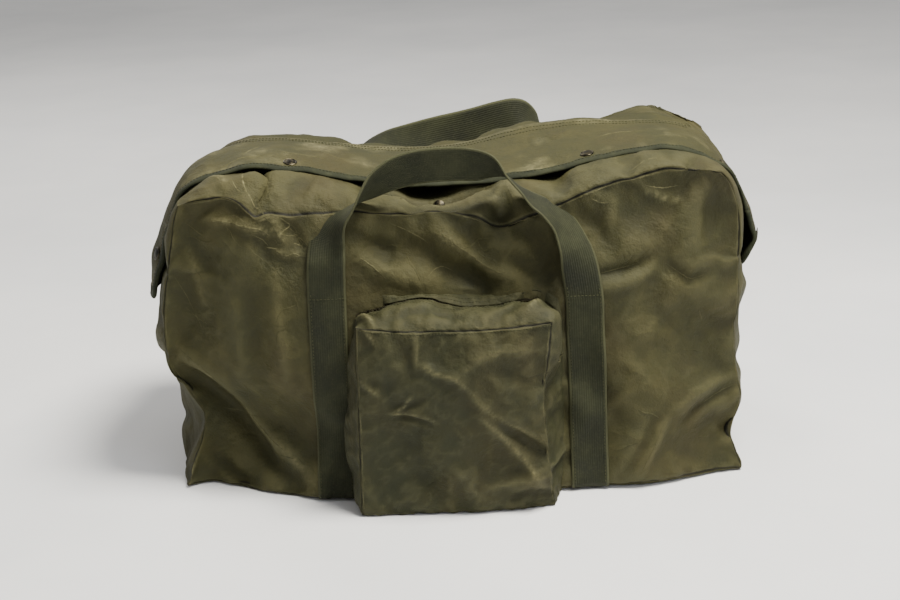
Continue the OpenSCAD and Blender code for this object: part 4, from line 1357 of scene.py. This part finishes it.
def metal(name, base, rubbed, rough):
    """Plated or tarnished metal, with its finish rubbed back in patches."""
    material, tree, shader = new_material(name)
    where = add(tree, "TexCoord").outputs["Object"]
    cloud = add(tree, "TexNoise", None, Vector=where, Scale=180.0, Detail=4.0, Roughness=0.7)
    colour = add(tree, "ValToRGB", {"stops": [(0.42, base), (0.645, rubbed)]}, Fac=cloud)
    tree.links.new(colour.outputs[0], shader.inputs["Base Color"])
    shader.inputs["Metallic"].default_value = 1.0
    dull = add(tree, "MapRange", None, Value=cloud, From_Min=0.35, From_Max=0.7, To_Min=rough,
               To_Max=rough + 0.18)
    tree.links.new(dull.outputs[0], shader.inputs["Roughness"])
    return material


black_brass = metal("blackened_brass", "1f1e1a", "5a5443", 0.34)
bare_brass = metal("tarnished_brass", "7d6b3c", "b59b5b", 0.28)


def tube(base, rings, around):
    """Faces of a closed tube: rings of points numbered from base on, and its two ends."""
    faces = []
    for start in range(base, base + (rings - 1) * around, around):
        for k in range(around):
            a, b = start + k, start + (k + 1) % around
            faces.append((a, b, b + around, a + around))
    last = base + (rings - 1) * around
    return faces + [tuple(range(base, base + around))[::-1], tuple(range(last, last + around))]


def turned(parts):
    """Round parts of one mesh. Each is its profile, as pairs of radius and height in mm, its
    centre and its axis."""
    points, faces, count = [], [], 28
    angle = np.arange(count) * 2 * np.pi / count
    for profile, centre, axis in parts:
        axis = np.array(axis) / np.linalg.norm(axis)
        side = np.cross(axis, [0.3, 0.9, 0.2])
        side /= np.linalg.norm(side)
        other = np.cross(axis, side)
        base = len(points)
        for r, h in profile:
            ring = np.outer(np.cos(angle), side) + np.outer(np.sin(angle), other)
            points += (np.array(centre) + axis * h * mm + ring * max(r, 0.02) * mm).tolist()
        faces += tube(base, len(profile), count)
    return points, faces


def solid(name, points, faces, smooth=True):
    """Mesh object from points and faces, with its normals facing out."""
    data = mesh_of(name, points, faces)
    face_out(data)
    obj = placed(name, data, smooth)
    if smooth:
        data.set_sharp_from_angle(angle=math.radians(40))
    return obj


cap_profile = [(6.2, -0.4), (7.0, -0.3), (7.2, 0.1), (6.9, 0.5), (6.2, 0.75), (5.8, 0.5), (5.2, 0.5),
               (4.0, 0.9), (2.0, 1.15), (0, 1.2)]
socket_profile = [(6.2, 0.2), (6.3, 1.4), (5.8, 2.0), (4.4, 2.2), (3.6, 2.0), (3.2, 0.9), (0, 0.8)]
stud_profile = [(6.2, -0.4), (6.3, 0.4), (5.6, 0.9), (3.4, 1.1), (2.3, 1.7), (2.2, 2.2), (2.6, 2.9),
                (2.2, 3.5), (0, 3.7)]
snap_y = -77 * mm
# How far each part lies from the middle of the cloth it goes through, or above the bag's.
flap_cap_lift, tongue_cap_lift, socket_lift, stud_lift = 1.9 * mm, 2.1 * mm, 1.0 * mm, 0.2 * mm
flap_tree = tree_of(flap_mid)


def on_top(tree, x, y):
    """Where a line straight down meets a surface, and the surface's upward normal there."""
    place, normal = drop(tree, x * mm, y)
    return np.array(place), np.array(normal if normal.z > 0 else -normal)


def on_end(tree, side, y, z):
    """Where a level line meets an end, from the left for -1 or the right for 1, and its normal."""
    place, normal, _, _ = tree.ray_cast(Vector((side * 400 * mm, y, z)), Vector((-side, 0, 0)))
    return np.array(place), np.array(normal) * (1 if normal.x * side > 0 else -1)


caps, sockets, studs = [], [], []
for x in (-165, -8, 143, 284):
    place, normal = on_top(flap_tree, x, snap_y)
    caps.append((cap_profile, place + normal * flap_cap_lift, normal))
    if x < 200:
        sockets.append((socket_profile, place - normal * socket_lift, -normal))
for x, y in ((-165, -77), (-12, -101), (143, -77)):
    place, normal = on_top(shell_tree, x, y * mm)
    studs.append((stud_profile, place + normal * stud_lift, normal))
dress(solid("flap_caps", *turned(caps)), black_brass, "blackened_stud", "flap", "flap_snap_caps")
dress(solid("flap_sockets", *turned(sockets)), black_brass, "blackened_stud", "flap",
      "flap_snap_sockets")
for side, name, rows in ((-1, "left_tongue", left_rows), (1, "right_tongue", right_rows)):
    place, normal = on_end(tree_of(rows), side, snap_y, 250 * mm)
    parts = [(cap_profile, place + normal * tongue_cap_lift, normal),
             (socket_profile, place - normal * socket_lift, -normal)]
    dress(solid(name + "_stud_cap", *turned(parts)), black_brass, "blackened_stud", name,
          name + "_snap")
    place, normal = on_end(shell_tree, side, snap_y, 250 * mm)
    studs.append((stud_profile, place + normal * stud_lift, normal))
dress(solid("bag_studs", *turned(studs)), black_brass, "blackened_stud", "bag", "snap_studs")

# ---- Main zip ----
# Brass teeth clamped on two cotton tapes, under the flap from the top of one end panel to the
# other, with a crimped stop at each end. The canvas beside it is turned under and sewn once.


def evenly(path, step):
    """Points at even steps along a line, with its directions."""
    run = distances(path)
    made = at_distances(np.linspace(0, run[-1], max(int(round(run[-1] / step)), 2) + 1), run, path)
    return made, unit(np.gradient(made, axis=0))


# A tooth: eight corners round it, as parts of its length along the zip and of its height, and
# six places from its root on the tape to its tip, with how large it is there; all in mm.
tooth_corners = [(0.5, 1.25), (1.0, 0.75), (1.0, -0.75), (0.5, -1.25), (-0.5, -1.25),
                 (-1.0, -0.75), (-1.0, 0.75), (-0.5, 1.25)]
tooth_rings = [(4.6, 0.85), (4.2, 1.0), (1.2, 1.0), (0.6, 0.8), (-0.7, 1.0), (-1.0, 0.7)]


def closed_zip(piece, node, path, out, tape_at, metals, slot, pitch=4.4 * mm, size=1.0):
    """Both halves of a zip along a path: tape and teeth. tape_at is where the tape's lines lie,
    away from the middle in mm; out is the way the zip faces at each point of the path."""
    run = distances(path)
    for half, way, shift in (("front", -1, 0.25), ("rear", 1, 0.75)):
        side = np.tile([0.0, way, 0.0], (len(path), 1))
        # The tape lies a little below the middle of the teeth, and sinks away from them.
        rows = np.stack([path + (side * a * mm - out * (0.9 + 0.15 * max(a - 8, 0)) * mm)
                         for a in tape_at], axis=1)
        half_tape = out[:, None] * 0.35 * mm
        tape = band(piece.format(half) + "_zip_tape_cloth", rows + half_tape, rows - half_tape)
        dress(tape, tape_cotton, "cotton_tape", "bag", node.format(half) + "_tape")
        s = np.arange(shift * pitch + 2 * mm, run[-1] - 2 * mm, pitch)
        centre, up, away = (at_distances(s, run, values) for values in (path, out, side))
        ahead = np.cross(up, away)
        points, faces = [], []
        for i in range(len(s)):
            faces += tube(len(points), len(tooth_rings), len(tooth_corners))
            for far, scale in tooth_rings:
                for a, h in tooth_corners:
                    points.append(centre[i] + away[i] * far * size * mm
                                  + ahead[i] * a * scale * size * mm + up[i] * h * scale * size * mm)
        teeth = solid(piece.format(half) + "_zip_chain", points, faces)
        dress(teeth, metals, slot, "bag", node.format(half) + "_teeth")


def blocks(name, items):
    """One mesh of small blocks. Each is its centre, its three directions and its size in mm."""
    sides = [(0, 1, 3, 2), (4, 6, 7, 5), (0, 4, 5, 1), (2, 3, 7, 6), (0, 2, 6, 4), (1, 5, 7, 3)]
    points, faces = [], []
    for centre, ahead, side, up, size in items:
        faces += [tuple(len(points) + i for i in q) for q in sides]
        points += [centre + (ahead * a * size[0] + side * b * size[1] + up * c * size[2]) * mm / 2
                   for a in (-1, 1) for b in (-1, 1) for c in (-1, 1)]
    return solid(name, points, faces, smooth=False)


path, ahead = evenly(zip_line, 4 * mm)
out = outward(path)
closed_zip("{}", "{}_zip", path, out, (3.4, 8, 13, 17, 21), bare_brass, "brass_zip")
y_way = np.array([0.0, 1.0, 0.0])
stops = [(path[i], ahead[i], y_way, out[i], (3, 13, 3.2)) for i in (0, -1)]
dress(blocks("zip_end_stops", stops), bare_brass, "brass_zip", "bag", "zip_stops")
lips = []
for y in (-15.5 * mm, 15.5 * mm):
    points, normals = zip(*(on_top(shell_tree, x, y) for x in np.arange(-250, 250, 2.0)))
    points = np.array(points)
    points[1:-1] = (points[:-2] + points[1:-1] + points[2:]) / 3
    lips.append((points, np.array(normals)))
dress(stitches("zip_edge_stitches", lips), thread_cotton, "cotton_tape", "bag")

# ---- Seam bindings ----
# Cotton tape over the raw edges of the seams round the two big panels, inside the bag.

for name, way, loop in (
    ("front", 1, joined(front_left_low, front_left_high, front_top, front_right_high,
                        front_right_low, front_bottom[::-1])),
    ("rear", -1, joined(rear_left_low, rear_left_high, rear_top, rear_right_high,
                        rear_right_low, rear_bottom[::-1]))):
    # The way into the bag from each place on the loop, made gradual round the corners.
    middle = np.array([0, 0, 160 * mm])
    inward = (middle - loop) * [1, 0, 1]
    inward = np.stack([np.sign(inward[:, 0]) * (np.abs(loop[:, 0]) > 260 * mm), 0 * inward[:, 1],
                       np.sign(inward[:, 2]) * ((loop[:, 2] < 20 * mm) | (loop[:, 2] > 265 * mm))],
                      axis=1)
    relax(inward, 6)
    inward = unit(inward)
    rows = np.stack([loop + inward * a * mm + [0, way * b * mm, 0]
                     for a, b in ((9, 13), (12, 15.5), (15, 18))], axis=1)
    dress(band(name + "_binding_tape", *thickened(rows, 0.8 * mm)), tape_cotton, "cotton_tape",
          "bag", name + "_seam_binding")

# ---- Carrying handles ----
# Heavy cotton webbing, 38 mm wide and 2 mm thick. Each is one length: sewn up the panel from the
# bottom seam, free from the top of its stitching, over and down again. The free part is twisted.


def webbing_cotton():
    """Cotton webbing: lengthwise ribs 2.4 mm apart, firm pale selvedges, a little faded."""
    material, tree, shader = new_material("cotton_webbing")
    where = add(tree, "TexCoord").outputs["Object"]
    threads = add(tree, "UVMap", {"uv_map": "threads"}).outputs["UV"]
    split = add(tree, "SeparateXYZ", None, Vector=threads)
    away = add(tree, "Math", {"operation": "SUBTRACT"}, n0=split, n1=0.019)
    away = add(tree, "Math", {"operation": "ABSOLUTE"}, n0=away)
    selvedge = add(tree, "MapRange", None, Value=away, From_Min=0.0168, From_Max=0.0186)
    cloud = add(tree, "TexNoise", None, Vector=where, Scale=24.0, Detail=5.0, Roughness=0.65)
    fluff = add(tree, "TexNoise", None, Vector=where, Scale=420.0, Detail=2.0, Roughness=0.8)
    fluff = add(tree, "MapRange", None, Value=fluff, From_Min=0.52, From_Max=0.72)
    ribs = add(tree, "TexWave", {"bands_direction": "X"}, Vector=threads, Scale=131.0).outputs["Fac"]
    weft = add(tree, "TexWave", {"bands_direction": "Y"}, Vector=threads, Scale=210.0,
               Distortion=0.6, Detail=1.0).outputs["Fac"]
    # Painted shade: the grooves between the ribs are darkened in colour.
    painted_groove_shade = add(tree, "Math", {"operation": "SUBTRACT"}, n0=1.0, n1=ribs)
    colour = add(tree, "ValToRGB", {"stops": [(0.34, "181b0e"), (0.52, "222513"), (0.70, "2e311d")]},
                 Fac=cloud)
    for factor, part, shade in ((selvedge, 0.5, "54553a"), (fluff, 0.07, "77755a"),
                                (painted_groove_shade, 0.14, "1c1d12")):
        some = add(tree, "Math", TIMES, n0=factor, n1=part)
        colour = add(tree, "Mix", BLEND, n0=some, n6=colour, n7=shade).outputs[2]
    tree.links.new(colour, shader.inputs["Base Color"])
    shader.inputs["Roughness"].default_value = 0.82
    shader.inputs["IOR"].default_value = 1.5
    shader.inputs["Specular IOR Level"].default_value = 0.3
    height = add(tree, "Math", ADDED, n0=weft, n1=0.5, n2=ribs)
    bump = add(tree, "Bump", None, Strength=0.5, Distance=0.0004, Height=height)
    tree.links.new(bump.outputs[0], shader.inputs["Normal"])
    return material


webbing = webbing_cotton()
strap_wide, strap_thick, strap_cells = 38 * mm, 2.0 * mm, 8
leg_top = 234  # the legs are sewn down to just below this height, in mm
stand = 0.5  # how much further off the panel, in mm, the strap is at each of its first places
strap_at = np.linspace(-0.5, 0.5, strap_cells + 1)


def panel_depth(tree, x, z, way):
    """Y of the bag's surface behind a point in front of a panel."""
    hit = tree.ray_cast(Vector((x, way * clear, max(z, 6 * mm))), Vector((0, -way, 0)))[0]
    return hit.y if hit else way * 140 * mm


def leg(tree, way, middle, heading, top):
    """Rows of strap that lie on a panel. middle gives the strap's centre at each height."""
    height = np.arange(4, top, 5.0) * mm
    centre = between(middle, height / mm) * mm
    rows = np.zeros((len(height), strap_cells + 1, 3))
    for i, z in enumerate(height):
        for j, t in enumerate(strap_at * heading):
            x = centre[i] + t * strap_wide
            rows[i, j] = (x, way * panel_depth(tree, x, z, way), z)
    raw = rows[:, :, 1].copy()
    soft = raw.copy()
    for _ in range(8):
        relax(soft)
        relax(soft.T)
    rows[:, :, 1] = way * (np.maximum(soft, raw) + 1.5 * mm)
    return rows


def handle(tree, way, left_middle, right_middle, keys):
    """Whole strap as rows of points from the foot of one leg to the foot of the other."""
    left_leg = leg(tree, way, left_middle, 1, leg_top)
    right_leg = leg(tree, way, right_middle, -1, leg_top)[::-1]
    loop = []
    for centre, width in keys:
        centre = np.array(centre, float) * mm
        width = np.array(width, float)
        loop.append(np.stack([centre, width / np.linalg.norm(width)]))
    loop = np.array(loop)
    loop[0, 0, 1] = left_leg[-1, :, 1].mean() + way * stand * mm
    loop[1, 0, 1] = loop[0, 0, 1] + way * stand * mm
    loop[-1, 0, 1] = right_leg[0, :, 1].mean() + way * stand * mm
    loop[-2, 0, 1] = loop[-1, 0, 1] + way * stand * mm
    fine = through(loop, 6)
    ahead = unit(np.gradient(fine[:, 0], axis=0))
    width = unit(fine[:, 1] - ahead * np.einsum("ij,ij->i", fine[:, 1], ahead)[:, None])
    relax(width, 3)
    width = unit(width)
    free = fine[:, 0][:, None] + width[:, None] * (strap_at * strap_wide)[None, :, None]
    rows = np.concatenate([left_leg, free, right_leg])
    n = len(left_leg)
    for start in (n - 6, len(left_leg) + len(free) - 6):
        relax(rows[start : start + 12], 6)
    return rows, n


# Places along each free loop: the strap's centre, and the way its width lies there.
front_keys = [
    ((-128, 0, 240), (1, 0, 0)), ((-127, 0, 258), (1, -0.04, 0)),
    ((-124, -150, 280), (0.93, -0.33, 0.05)), ((-113, -151, 299), (0.6, -0.78, 0.1)),
    ((-98, -150, 312), (0.05, -1, 0.05)),
    ((-82, -149, 326), (-0.3, -0.85, 0.4)), ((-68, -148, 338), (-0.45, -0.6, 0.66)),
    ((-50, -147, 347), (-0.3, -0.35, 0.88)), ((-25, -146, 352), (-0.05, -0.28, 0.96)),
    ((5, -146, 353), (0.0, -0.28, 0.96)), ((28, -147, 351), (0.02, -0.4, 0.9)),
    ((44, -147, 347), (-0.02, -0.7, 0.7)), ((58, -149, 338), (0.05, -0.98, 0.15)),
    ((70, -150, 326), (0, -1, 0.1)), ((82, -150, 315), (-0.15, -0.98, -0.05)),
    ((98, -150, 304), (-0.32, -0.94, -0.13)), ((114, -150, 287), (-0.55, -0.81, -0.21)),
    ((124, -150, 264), (-0.8, -0.55, -0.1)), ((129.5, 0, 240), (-1, -0.1, 0)),
]
rear_keys = [
    ((-133, 0, 240), (1, 0, 0)), ((-131, 0, 260), (1, 0.05, 0)), ((-126, 147, 280), (0.85, 0.5, 0.1)),
    ((-114, 149, 296), (0.5, 0.85, 0.1)), ((-98, 148, 305), (0.1, 0.97, 0.2)),
    ((-75, 144, 310), (-0.15, 0.8, 0.55)), ((-45, 140, 315), (-0.15, 0.55, 0.8)),
    ((-10, 138, 322), (-0.1, 0.3, 0.95)), ((25, 137, 329), (-0.12, 0.2, 0.97)),
    ((58, 137, 337), (-0.1, 0.2, 0.97)), ((78, 138, 339), (0.15, 0.35, 0.92)),
    ((93, 142, 330), (0.3, 0.75, 0.6)), ((103, 146, 318), (0.1, 0.97, 0.2)),
    ((113, 148, 302), (-0.4, 0.9, 0)), ((124, 147, 282), (-0.8, 0.55, -0.1)),
    ((131, 0, 262), (-0.97, 0.2, 0)), ((133, 0, 240), (-1, 0, 0)),
]
for name, way, left_middle, right_middle, keys in (
    ("front", -1, [(0, -128.5), (240, -128.5)], [(0, 137), (97, 136), (207, 133.5), (240, 130)],
     front_keys),
    ("rear", 1, [(0, -133), (240, -133)], [(0, 133), (240, 133)], rear_keys)):
    rows, count = handle(shell_tree, way, left_middle, right_middle, keys)
    top, bottom = thickened(rows, strap_thick)
    strap = band(name + "_webbing", top, bottom)
    dress(strap, webbing, "webbing", None, name + "_handle_legs", name + "_handle")
    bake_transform(strap)
    normal = facing(rows)
    runs = []
    for part in (slice(1, count - 1), slice(len(rows) - count + 1, len(rows) - 1)):
        outside = normal[part]
        outside = outside * np.sign(outside[:, :, 1].mean() * way)
        for at in (0.6, strap_cells - 0.6):
            runs.append(column(rows[part], outside, at, 1.05 * mm))
        k = -2 if part.start == 1 else 2
        runs.append((rows[part][k] + outside[k] * 1.05 * mm, outside[k]))
    dress(stitches(name + "_webbing_stitches", runs), thread_cotton, "cotton_tape", "bag")

# ---- Front pocket ----
# A box pocket of the same canvas, sewn to the front panel round its back edge, with its zip
# across the top and down the right side. Its cloth has slumped forward and to the left.

# Steps up its side, down beside the zip, across its width, over its front and rear top strips
# and across the zip's gap.
tall, short, wide_cells, deep, rear_deep, slot_cells = 27, 10, 38, 9, 4, 2
pocket_left = line([(-101, -209, 1), (-100, -207, 60), (-99, -207, 130), (-99, -206, 175),
                    (-98, -206, 204)], tall + short)
pocket_top = line([(-98, -206, 204), (-58, -208, 200), (-24, -209, 199), (26, -209, 199),
                   (56, -208, 200), (97, -206, 203)], wide_cells)
pocket_right_high = line([(97, -206, 203), (94, -207, 180), (91, -207, 150)], short)
pocket_right_low = line([(91, -207, 150), (89, -206, 122), (92, -204, 67), (97, -199, 14),
                         (99, -196, 1)], tall)
pocket_foot = line([(-101, -209, 1), (-37, -207, 1), (20, -206, 1), (61, -203, 1), (99, -196, 1)],
                   wide_cells)


def sewn_on(points, cells):
    """Line on the bag's front panel through places given by x and z."""
    path = line([(x, 0, z) for x, z in points], cells)
    for p in path:
        p[1] = panel_depth(shell_tree, p[0], p[2], -1) + 0.6 * mm
    return path


back_left = sewn_on([(-106, 1), (-107, 60), (-106, 130), (-105, 180), (-102, 219)], tall + short)
back_top = sewn_on([(-102, 219), (-85, 221), (-54, 221), (-24, 221), (7, 218), (37, 217), (68, 220),
                    (88, 220), (107, 213)], wide_cells)
back_right_high = sewn_on([(107, 213), (111, 180), (112, 150)], short)
back_right_low = sewn_on([(112, 150), (111, 90), (110, 40), (106, 1)], tall)
back_foot = sewn_on([(-106, 1), (106, 1)], wide_cells)
slit_top = line([(-98, -163, 204), (-91, -162, 207), (-77, -162, 210), (-54, -166, 218),
                 (-36, -166, 220), (-23, -166, 219), (-8, -166, 214), (7, -165, 210),
                 (19, -164, 209), (32, -164, 209), (47, -164, 210), (62, -163, 213),
                 (75, -162, 212), (91, -162, 210), (101, -162, 203)], wide_cells)
slit_side = line([(101, -162, 203), (104, -162, 190), (105, -162, 172), (106, -162, 150)], short)
slit = joined(slit_top, slit_side)
gap = between([(-98, 5.6), (-91, 8.4), (-76, 8.4), (-64, 1.6), (-20, 2.2), (20, 1.0), (62, 0.8),
               (76, 7.0), (92, 7.5), (101, 6.0), (106, 5.0)],
              np.maximum.accumulate(slit[:, 0]) / mm) * mm
front_slit, rear_slit = slit.copy(), slit.copy()
front_slit[:, 1] -= gap
rear_slit[:, 1] += gap


def pocket_strip(seam, lip, cells, rise, early):
    """Strip of the pocket's top from a seam to the zip, puffed up by rise."""
    t = shares(cells)[None, :, None]
    flat = seam[:, None] * (1 - t) + lip[:, None] * t
    height = between(rise, np.maximum.accumulate(seam[:, 0]) / mm)[:, None, None] * mm
    ease = np.clip(np.minimum(np.arange(len(seam)), np.arange(len(seam))[::-1]) / 4, 0, 1)
    hump = np.sin(np.pi * t**early) * ease[:, None, None]
    return flat + outward(seam)[:, None] * height * hump


front_pocket_seam = joined(pocket_top, pocket_right_high)
back_pocket_seam = joined(back_top, back_right_high)
top_front = pocket_strip(front_pocket_seam, front_slit, deep,
                         [(-98, 6), (-60, 8), (0, 7), (40, 8), (75, 12), (97, 8)], 0.8)
top_rear = pocket_strip(back_pocket_seam, rear_slit, rear_deep,
                        [(-98, 1), (0, 1.5), (60, 2), (85, 4), (106, 2)], 1.0)


def pocket_top_edge(i):
    """Top edge of a side panel: both strips' ends and the zip's end between them."""
    across = np.linspace(front_slit[i], rear_slit[i], slot_cells + 1)
    return joined(top_front[i], across, top_rear[i][::-1])


left_top = pocket_top_edge(0)
right_top = pocket_top_edge(-1)
left_foot = end_bottom([tuple(pocket_foot[0] / mm), tuple(back_foot[0] / mm)], left_top)
right_foot = end_bottom([tuple(pocket_foot[-1] / mm), tuple(back_foot[-1] / mm)], right_top)
left_side = patch(left_foot, left_top, pocket_left, back_left)
right_side = patch(right_foot, right_top, pocket_right_low[::-1], back_right_low[::-1])
pocket_face = patch(pocket_foot, pocket_top, pocket_left,
                    joined(pocket_right_high, pocket_right_low)[::-1])
pocket_base = patch(pocket_foot, back_foot, left_foot, right_foot)
for rows, axis, depth, low_part in ((left_side, 0, -13 * mm, 0.75), (right_side, 0, -9 * mm, 0.8)):
    v, u = np.meshgrid(share_of(rows[:, 0]), share_of(rows[0]), indexing="ij")
    rows[:, :, axis] += depth * np.sin(np.pi * u) ** 0.8 * np.sin(np.pi * v**low_part)
belly(pocket_face, -1, 4 * mm)

P_FACE, P_LEFT, P_RIGHT, P_BASE, P_TOP, P_BACK = range(10, 16)
pocket = sew_up("pocket_canvas", [
    (P_FACE, pocket_face, 1), (P_BASE, pocket_base, -1), (P_LEFT, left_side, -1),
    (P_RIGHT, right_side, 1), (P_TOP, top_front, -1), (P_BACK, top_rear, 1),
])
low, high = tags(pocket.data)
co = places(pocket.data)
hold = np.where(low != high, 0.7, 0.02)
hold[(low == P_BASE) | (high == P_BASE)] = 1
behind = co[:, 1] > np.array([panel_depth(shell_tree, x, z, -1) for x, _, z in co]) - 2 * mm
hold[behind] = 1
hold[np.isin(high, (P_TOP, P_BACK)) & (np.abs(co[:, 1] + 163 * mm) < 8 * mm)] = 0.9
settle(pocket, hold, frames=22, slack=0.03, cap=4 * mm, bend=3)
subdivided(pocket)
work = Finish(pocket)
work.folds(P_FACE, XZ, [
    ([(-90, 206), (-84, 196), (-78, 186)], 5, 3, 0.7),
    ([(-64, 200), (-54, 186), (-46, 168), (-44, 150)], 8, -4),
    ([(-38, 200), (-39, 180), (-40, 160)], 4, 4, 0.8),
    ([(-36, 168), (-20, 156), (0, 152), (10, 142)], 6, 4, 0.6),
    ([(10, 142), (22, 126), (36, 112), (60, 96), (96, 70)], 7, 5, 0.4),
    ([(22, 112), (48, 84), (72, 50), (88, 22)], 8, 5, 0.5),
    ([(30, 118), (62, 86), (92, 62)], 7, -4),
    ([(-62, 116), (-52, 122), (-46, 132)], 3, 3, 0.9),
    ([(-60, 110), (-44, 109), (-28, 104)], 3, -4),
    ([(-62, 122), (-44, 124), (-30, 130)], 4, -3),
    ([(-72, 112), (-50, 114), (-30, 110), (-20, 104)], 3, 2, 0.7),
    ([(-96, 150), (-88, 142), (-78, 134)], 4, 3, 0.5),
    ([(0, 150), (20, 170), (50, 178), (90, 176)], 10, 4, 0.3),
    ([(40, 160), (66, 146), (92, 138)], 9, -4),
    ([(30, 30), (60, 34), (92, 40)], 8, 4, 0.3),
    ([(50, 16), (72, 20), (94, 18)], 6, -5),
    ([(-60, 90), (-40, 60), (-24, 30)], 12, -3),
    ([(-10, 60), (10, 40), (22, 14)], 10, 3, 0.2),
])
work.folds(P_TOP, XY, [
    ([(-97, -180), (-88, -190), (-80, -204)], 4, 5, 0.8),
    ([(-92, -172), (-80, -184), (-74, -200)], 5, -5),
    ([(-70, -196), (-30, -190), (10, -194)], 7, -3),
    ([(74, -196), (84, -184), (86, -172)], 5, 5, 0.5),
    ([(40, -200), (58, -188), (68, -176)], 7, -4),
])
work.folds(P_RIGHT, YZ, [
    ([(-200, 122), (-180, 118), (-160, 124)], 9, -5),
    ([(-196, 44), (-176, 40), (-156, 48)], 6, 5, 0.4),
])
work.crumple(depth=0.35 * mm, size=22 * mm, seed=5)
work.close(work.seam(depth=1.8 * mm, pucker=0.5 * mm, pitch=13 * mm))
pocket_tree = BVHTree.FromObject(pocket, bpy.context.evaluated_depsgraph_get())
turned_edge(pocket, 1.3 * mm)
pocket_canvas = waxed_canvas("waxed_pocket_canvas", "232612", "2a2b15", "34321a", "302914", "8c8762")
dress(pocket, pocket_canvas, "pocket_canvas", "bag", "pocket_front", "pocket_left_gusset",
      "pocket_right_gusset", "pocket_bottom", "pocket_front_lip", "pocket_rear_lip")

pocket_creases = seen([
    ([(-38, 195), (-39, 166), (-33, 157), (-14, 152)], 1.8, 0.8),
    ([(-57, 104), (-51, 109), (-45, 112)], 1.6, 0.8),
    ([(-56, 95), (-43, 93.6), (-36, 89), (-25, 94.6)], 1.7, 0.5),
    ([(-73, 96), (-60, 97), (-50, 96)], 1.4, 0.5), ([(-94, 140), (-86, 134), (-79, 126)], 1.4, 0.5),
    ([(28, 108), (50, 74), (76, 37)], 1.5, 0.35), ([(40, 106), (68, 89), (90, 74)], 1.4, 0.3),
    ([(-78, 186), (-68, 172), (-54, 170)], 1.6, 0.6), ([(-72, 162), (-70, 156)], 2.4, 0.9),
    ([(-60, 160), (-50, 150), (-46, 138)], 1.4, 0.4), ([(0, 150), (12, 140), (22, 124)], 1.3, 0.35),
    ([(0, 180), (24, 172), (60, 166)], 1.3, 0.3),
])
edge_runs = []
for path, towards in ((pocket_top - [0, 0, 2 * mm], AHEAD), (pocket_left + [2 * mm, 0, 0], AHEAD),
                      (joined(pocket_right_high, pocket_right_low) - [2 * mm, 0, 0], AHEAD)):
    for start in range(1, len(path) - 8, 7):
        edge_runs.append((pocket_tree, towards, [(path[start : start + 8] / mm, 1.3, 0.45)]))
pinches("pocket_creases", edge_runs + [
    (pocket_tree, AHEAD, pocket_creases + stray(41, 12, (-90, 15), (85, 190), XZ, -0.6)),
    (pocket_tree, DOWN, stray(42, 5, (-85, -200), (80, -172), XY, 0.3)),
], pocket_canvas, "pocket_canvas")

# The pocket's zip: blackened teeth, under lips that nearly meet, with two rows of stitching
# along each lip and one along the top edge of its front.
fine_slit, ahead = evenly(slit, 3 * mm)
out = outward(fine_slit)
fine_slit = fine_slit - out * 1.6 * mm
closed_zip("pocket_{}", "pocket_{}", fine_slit, out, (2.8, 5, 7.5), black_brass, "blackened_zip",
           pitch=3.4 * mm, size=0.72)
stops = [(fine_slit[i], ahead[i], y_way, out[i], (2.5, 9, 2.4)) for i in (0, -1)]
dress(blocks("pocket_end_stops", stops), black_brass, "blackened_zip", "bag", "pocket_zip_stops")


def seen_from(tree, points, towards):
    """Where lines of sight meet a surface, with its normals there."""
    found = []
    for p in points:
        start = Vector(p) - Vector(towards) * 0.2
        place, normal, _, _ = tree.ray_cast(start, Vector(towards))
        if place:
            flipped = normal if normal.dot(Vector(towards)) < 0 else -normal
            found.append((tuple(place), tuple(flipped)))
    return np.array([f[0] for f in found]), np.array([f[1] for f in found])


runs = []
for way, offsets in ((-1, (4, 10)), (1, (3.5, 7.5))):
    for offset in offsets:
        beside = slit_top.copy()
        beside[:, 1] += way * (gap[: len(slit_top)] + offset * mm)
        runs.append(seen_from(pocket_tree, evenly(beside, 2 * mm)[0], DOWN))
near_top = evenly(pocket_top, 2 * mm)[0] - [0, 0, 2.6 * mm]
runs.append(seen_from(pocket_tree, near_top, AHEAD))
dress(stitches("pocket_stitches", runs, 3.2 * mm, 0.65 * mm), thread_cotton, "cotton_tape", "bag")

# ---- Sliders and pulls ----
# Cast sliders and stamped pulls: brass on the main zip, blackened on the pocket's.

for node, material in (("zip_slider", bare_brass), ("zip_pull", bare_brass),
                       ("pocket_zip_slider", black_brass), ("pocket_zip_pull", black_brass)):
    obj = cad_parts[node]
    obj.data.materials.clear()
    obj.data.materials.append(material)
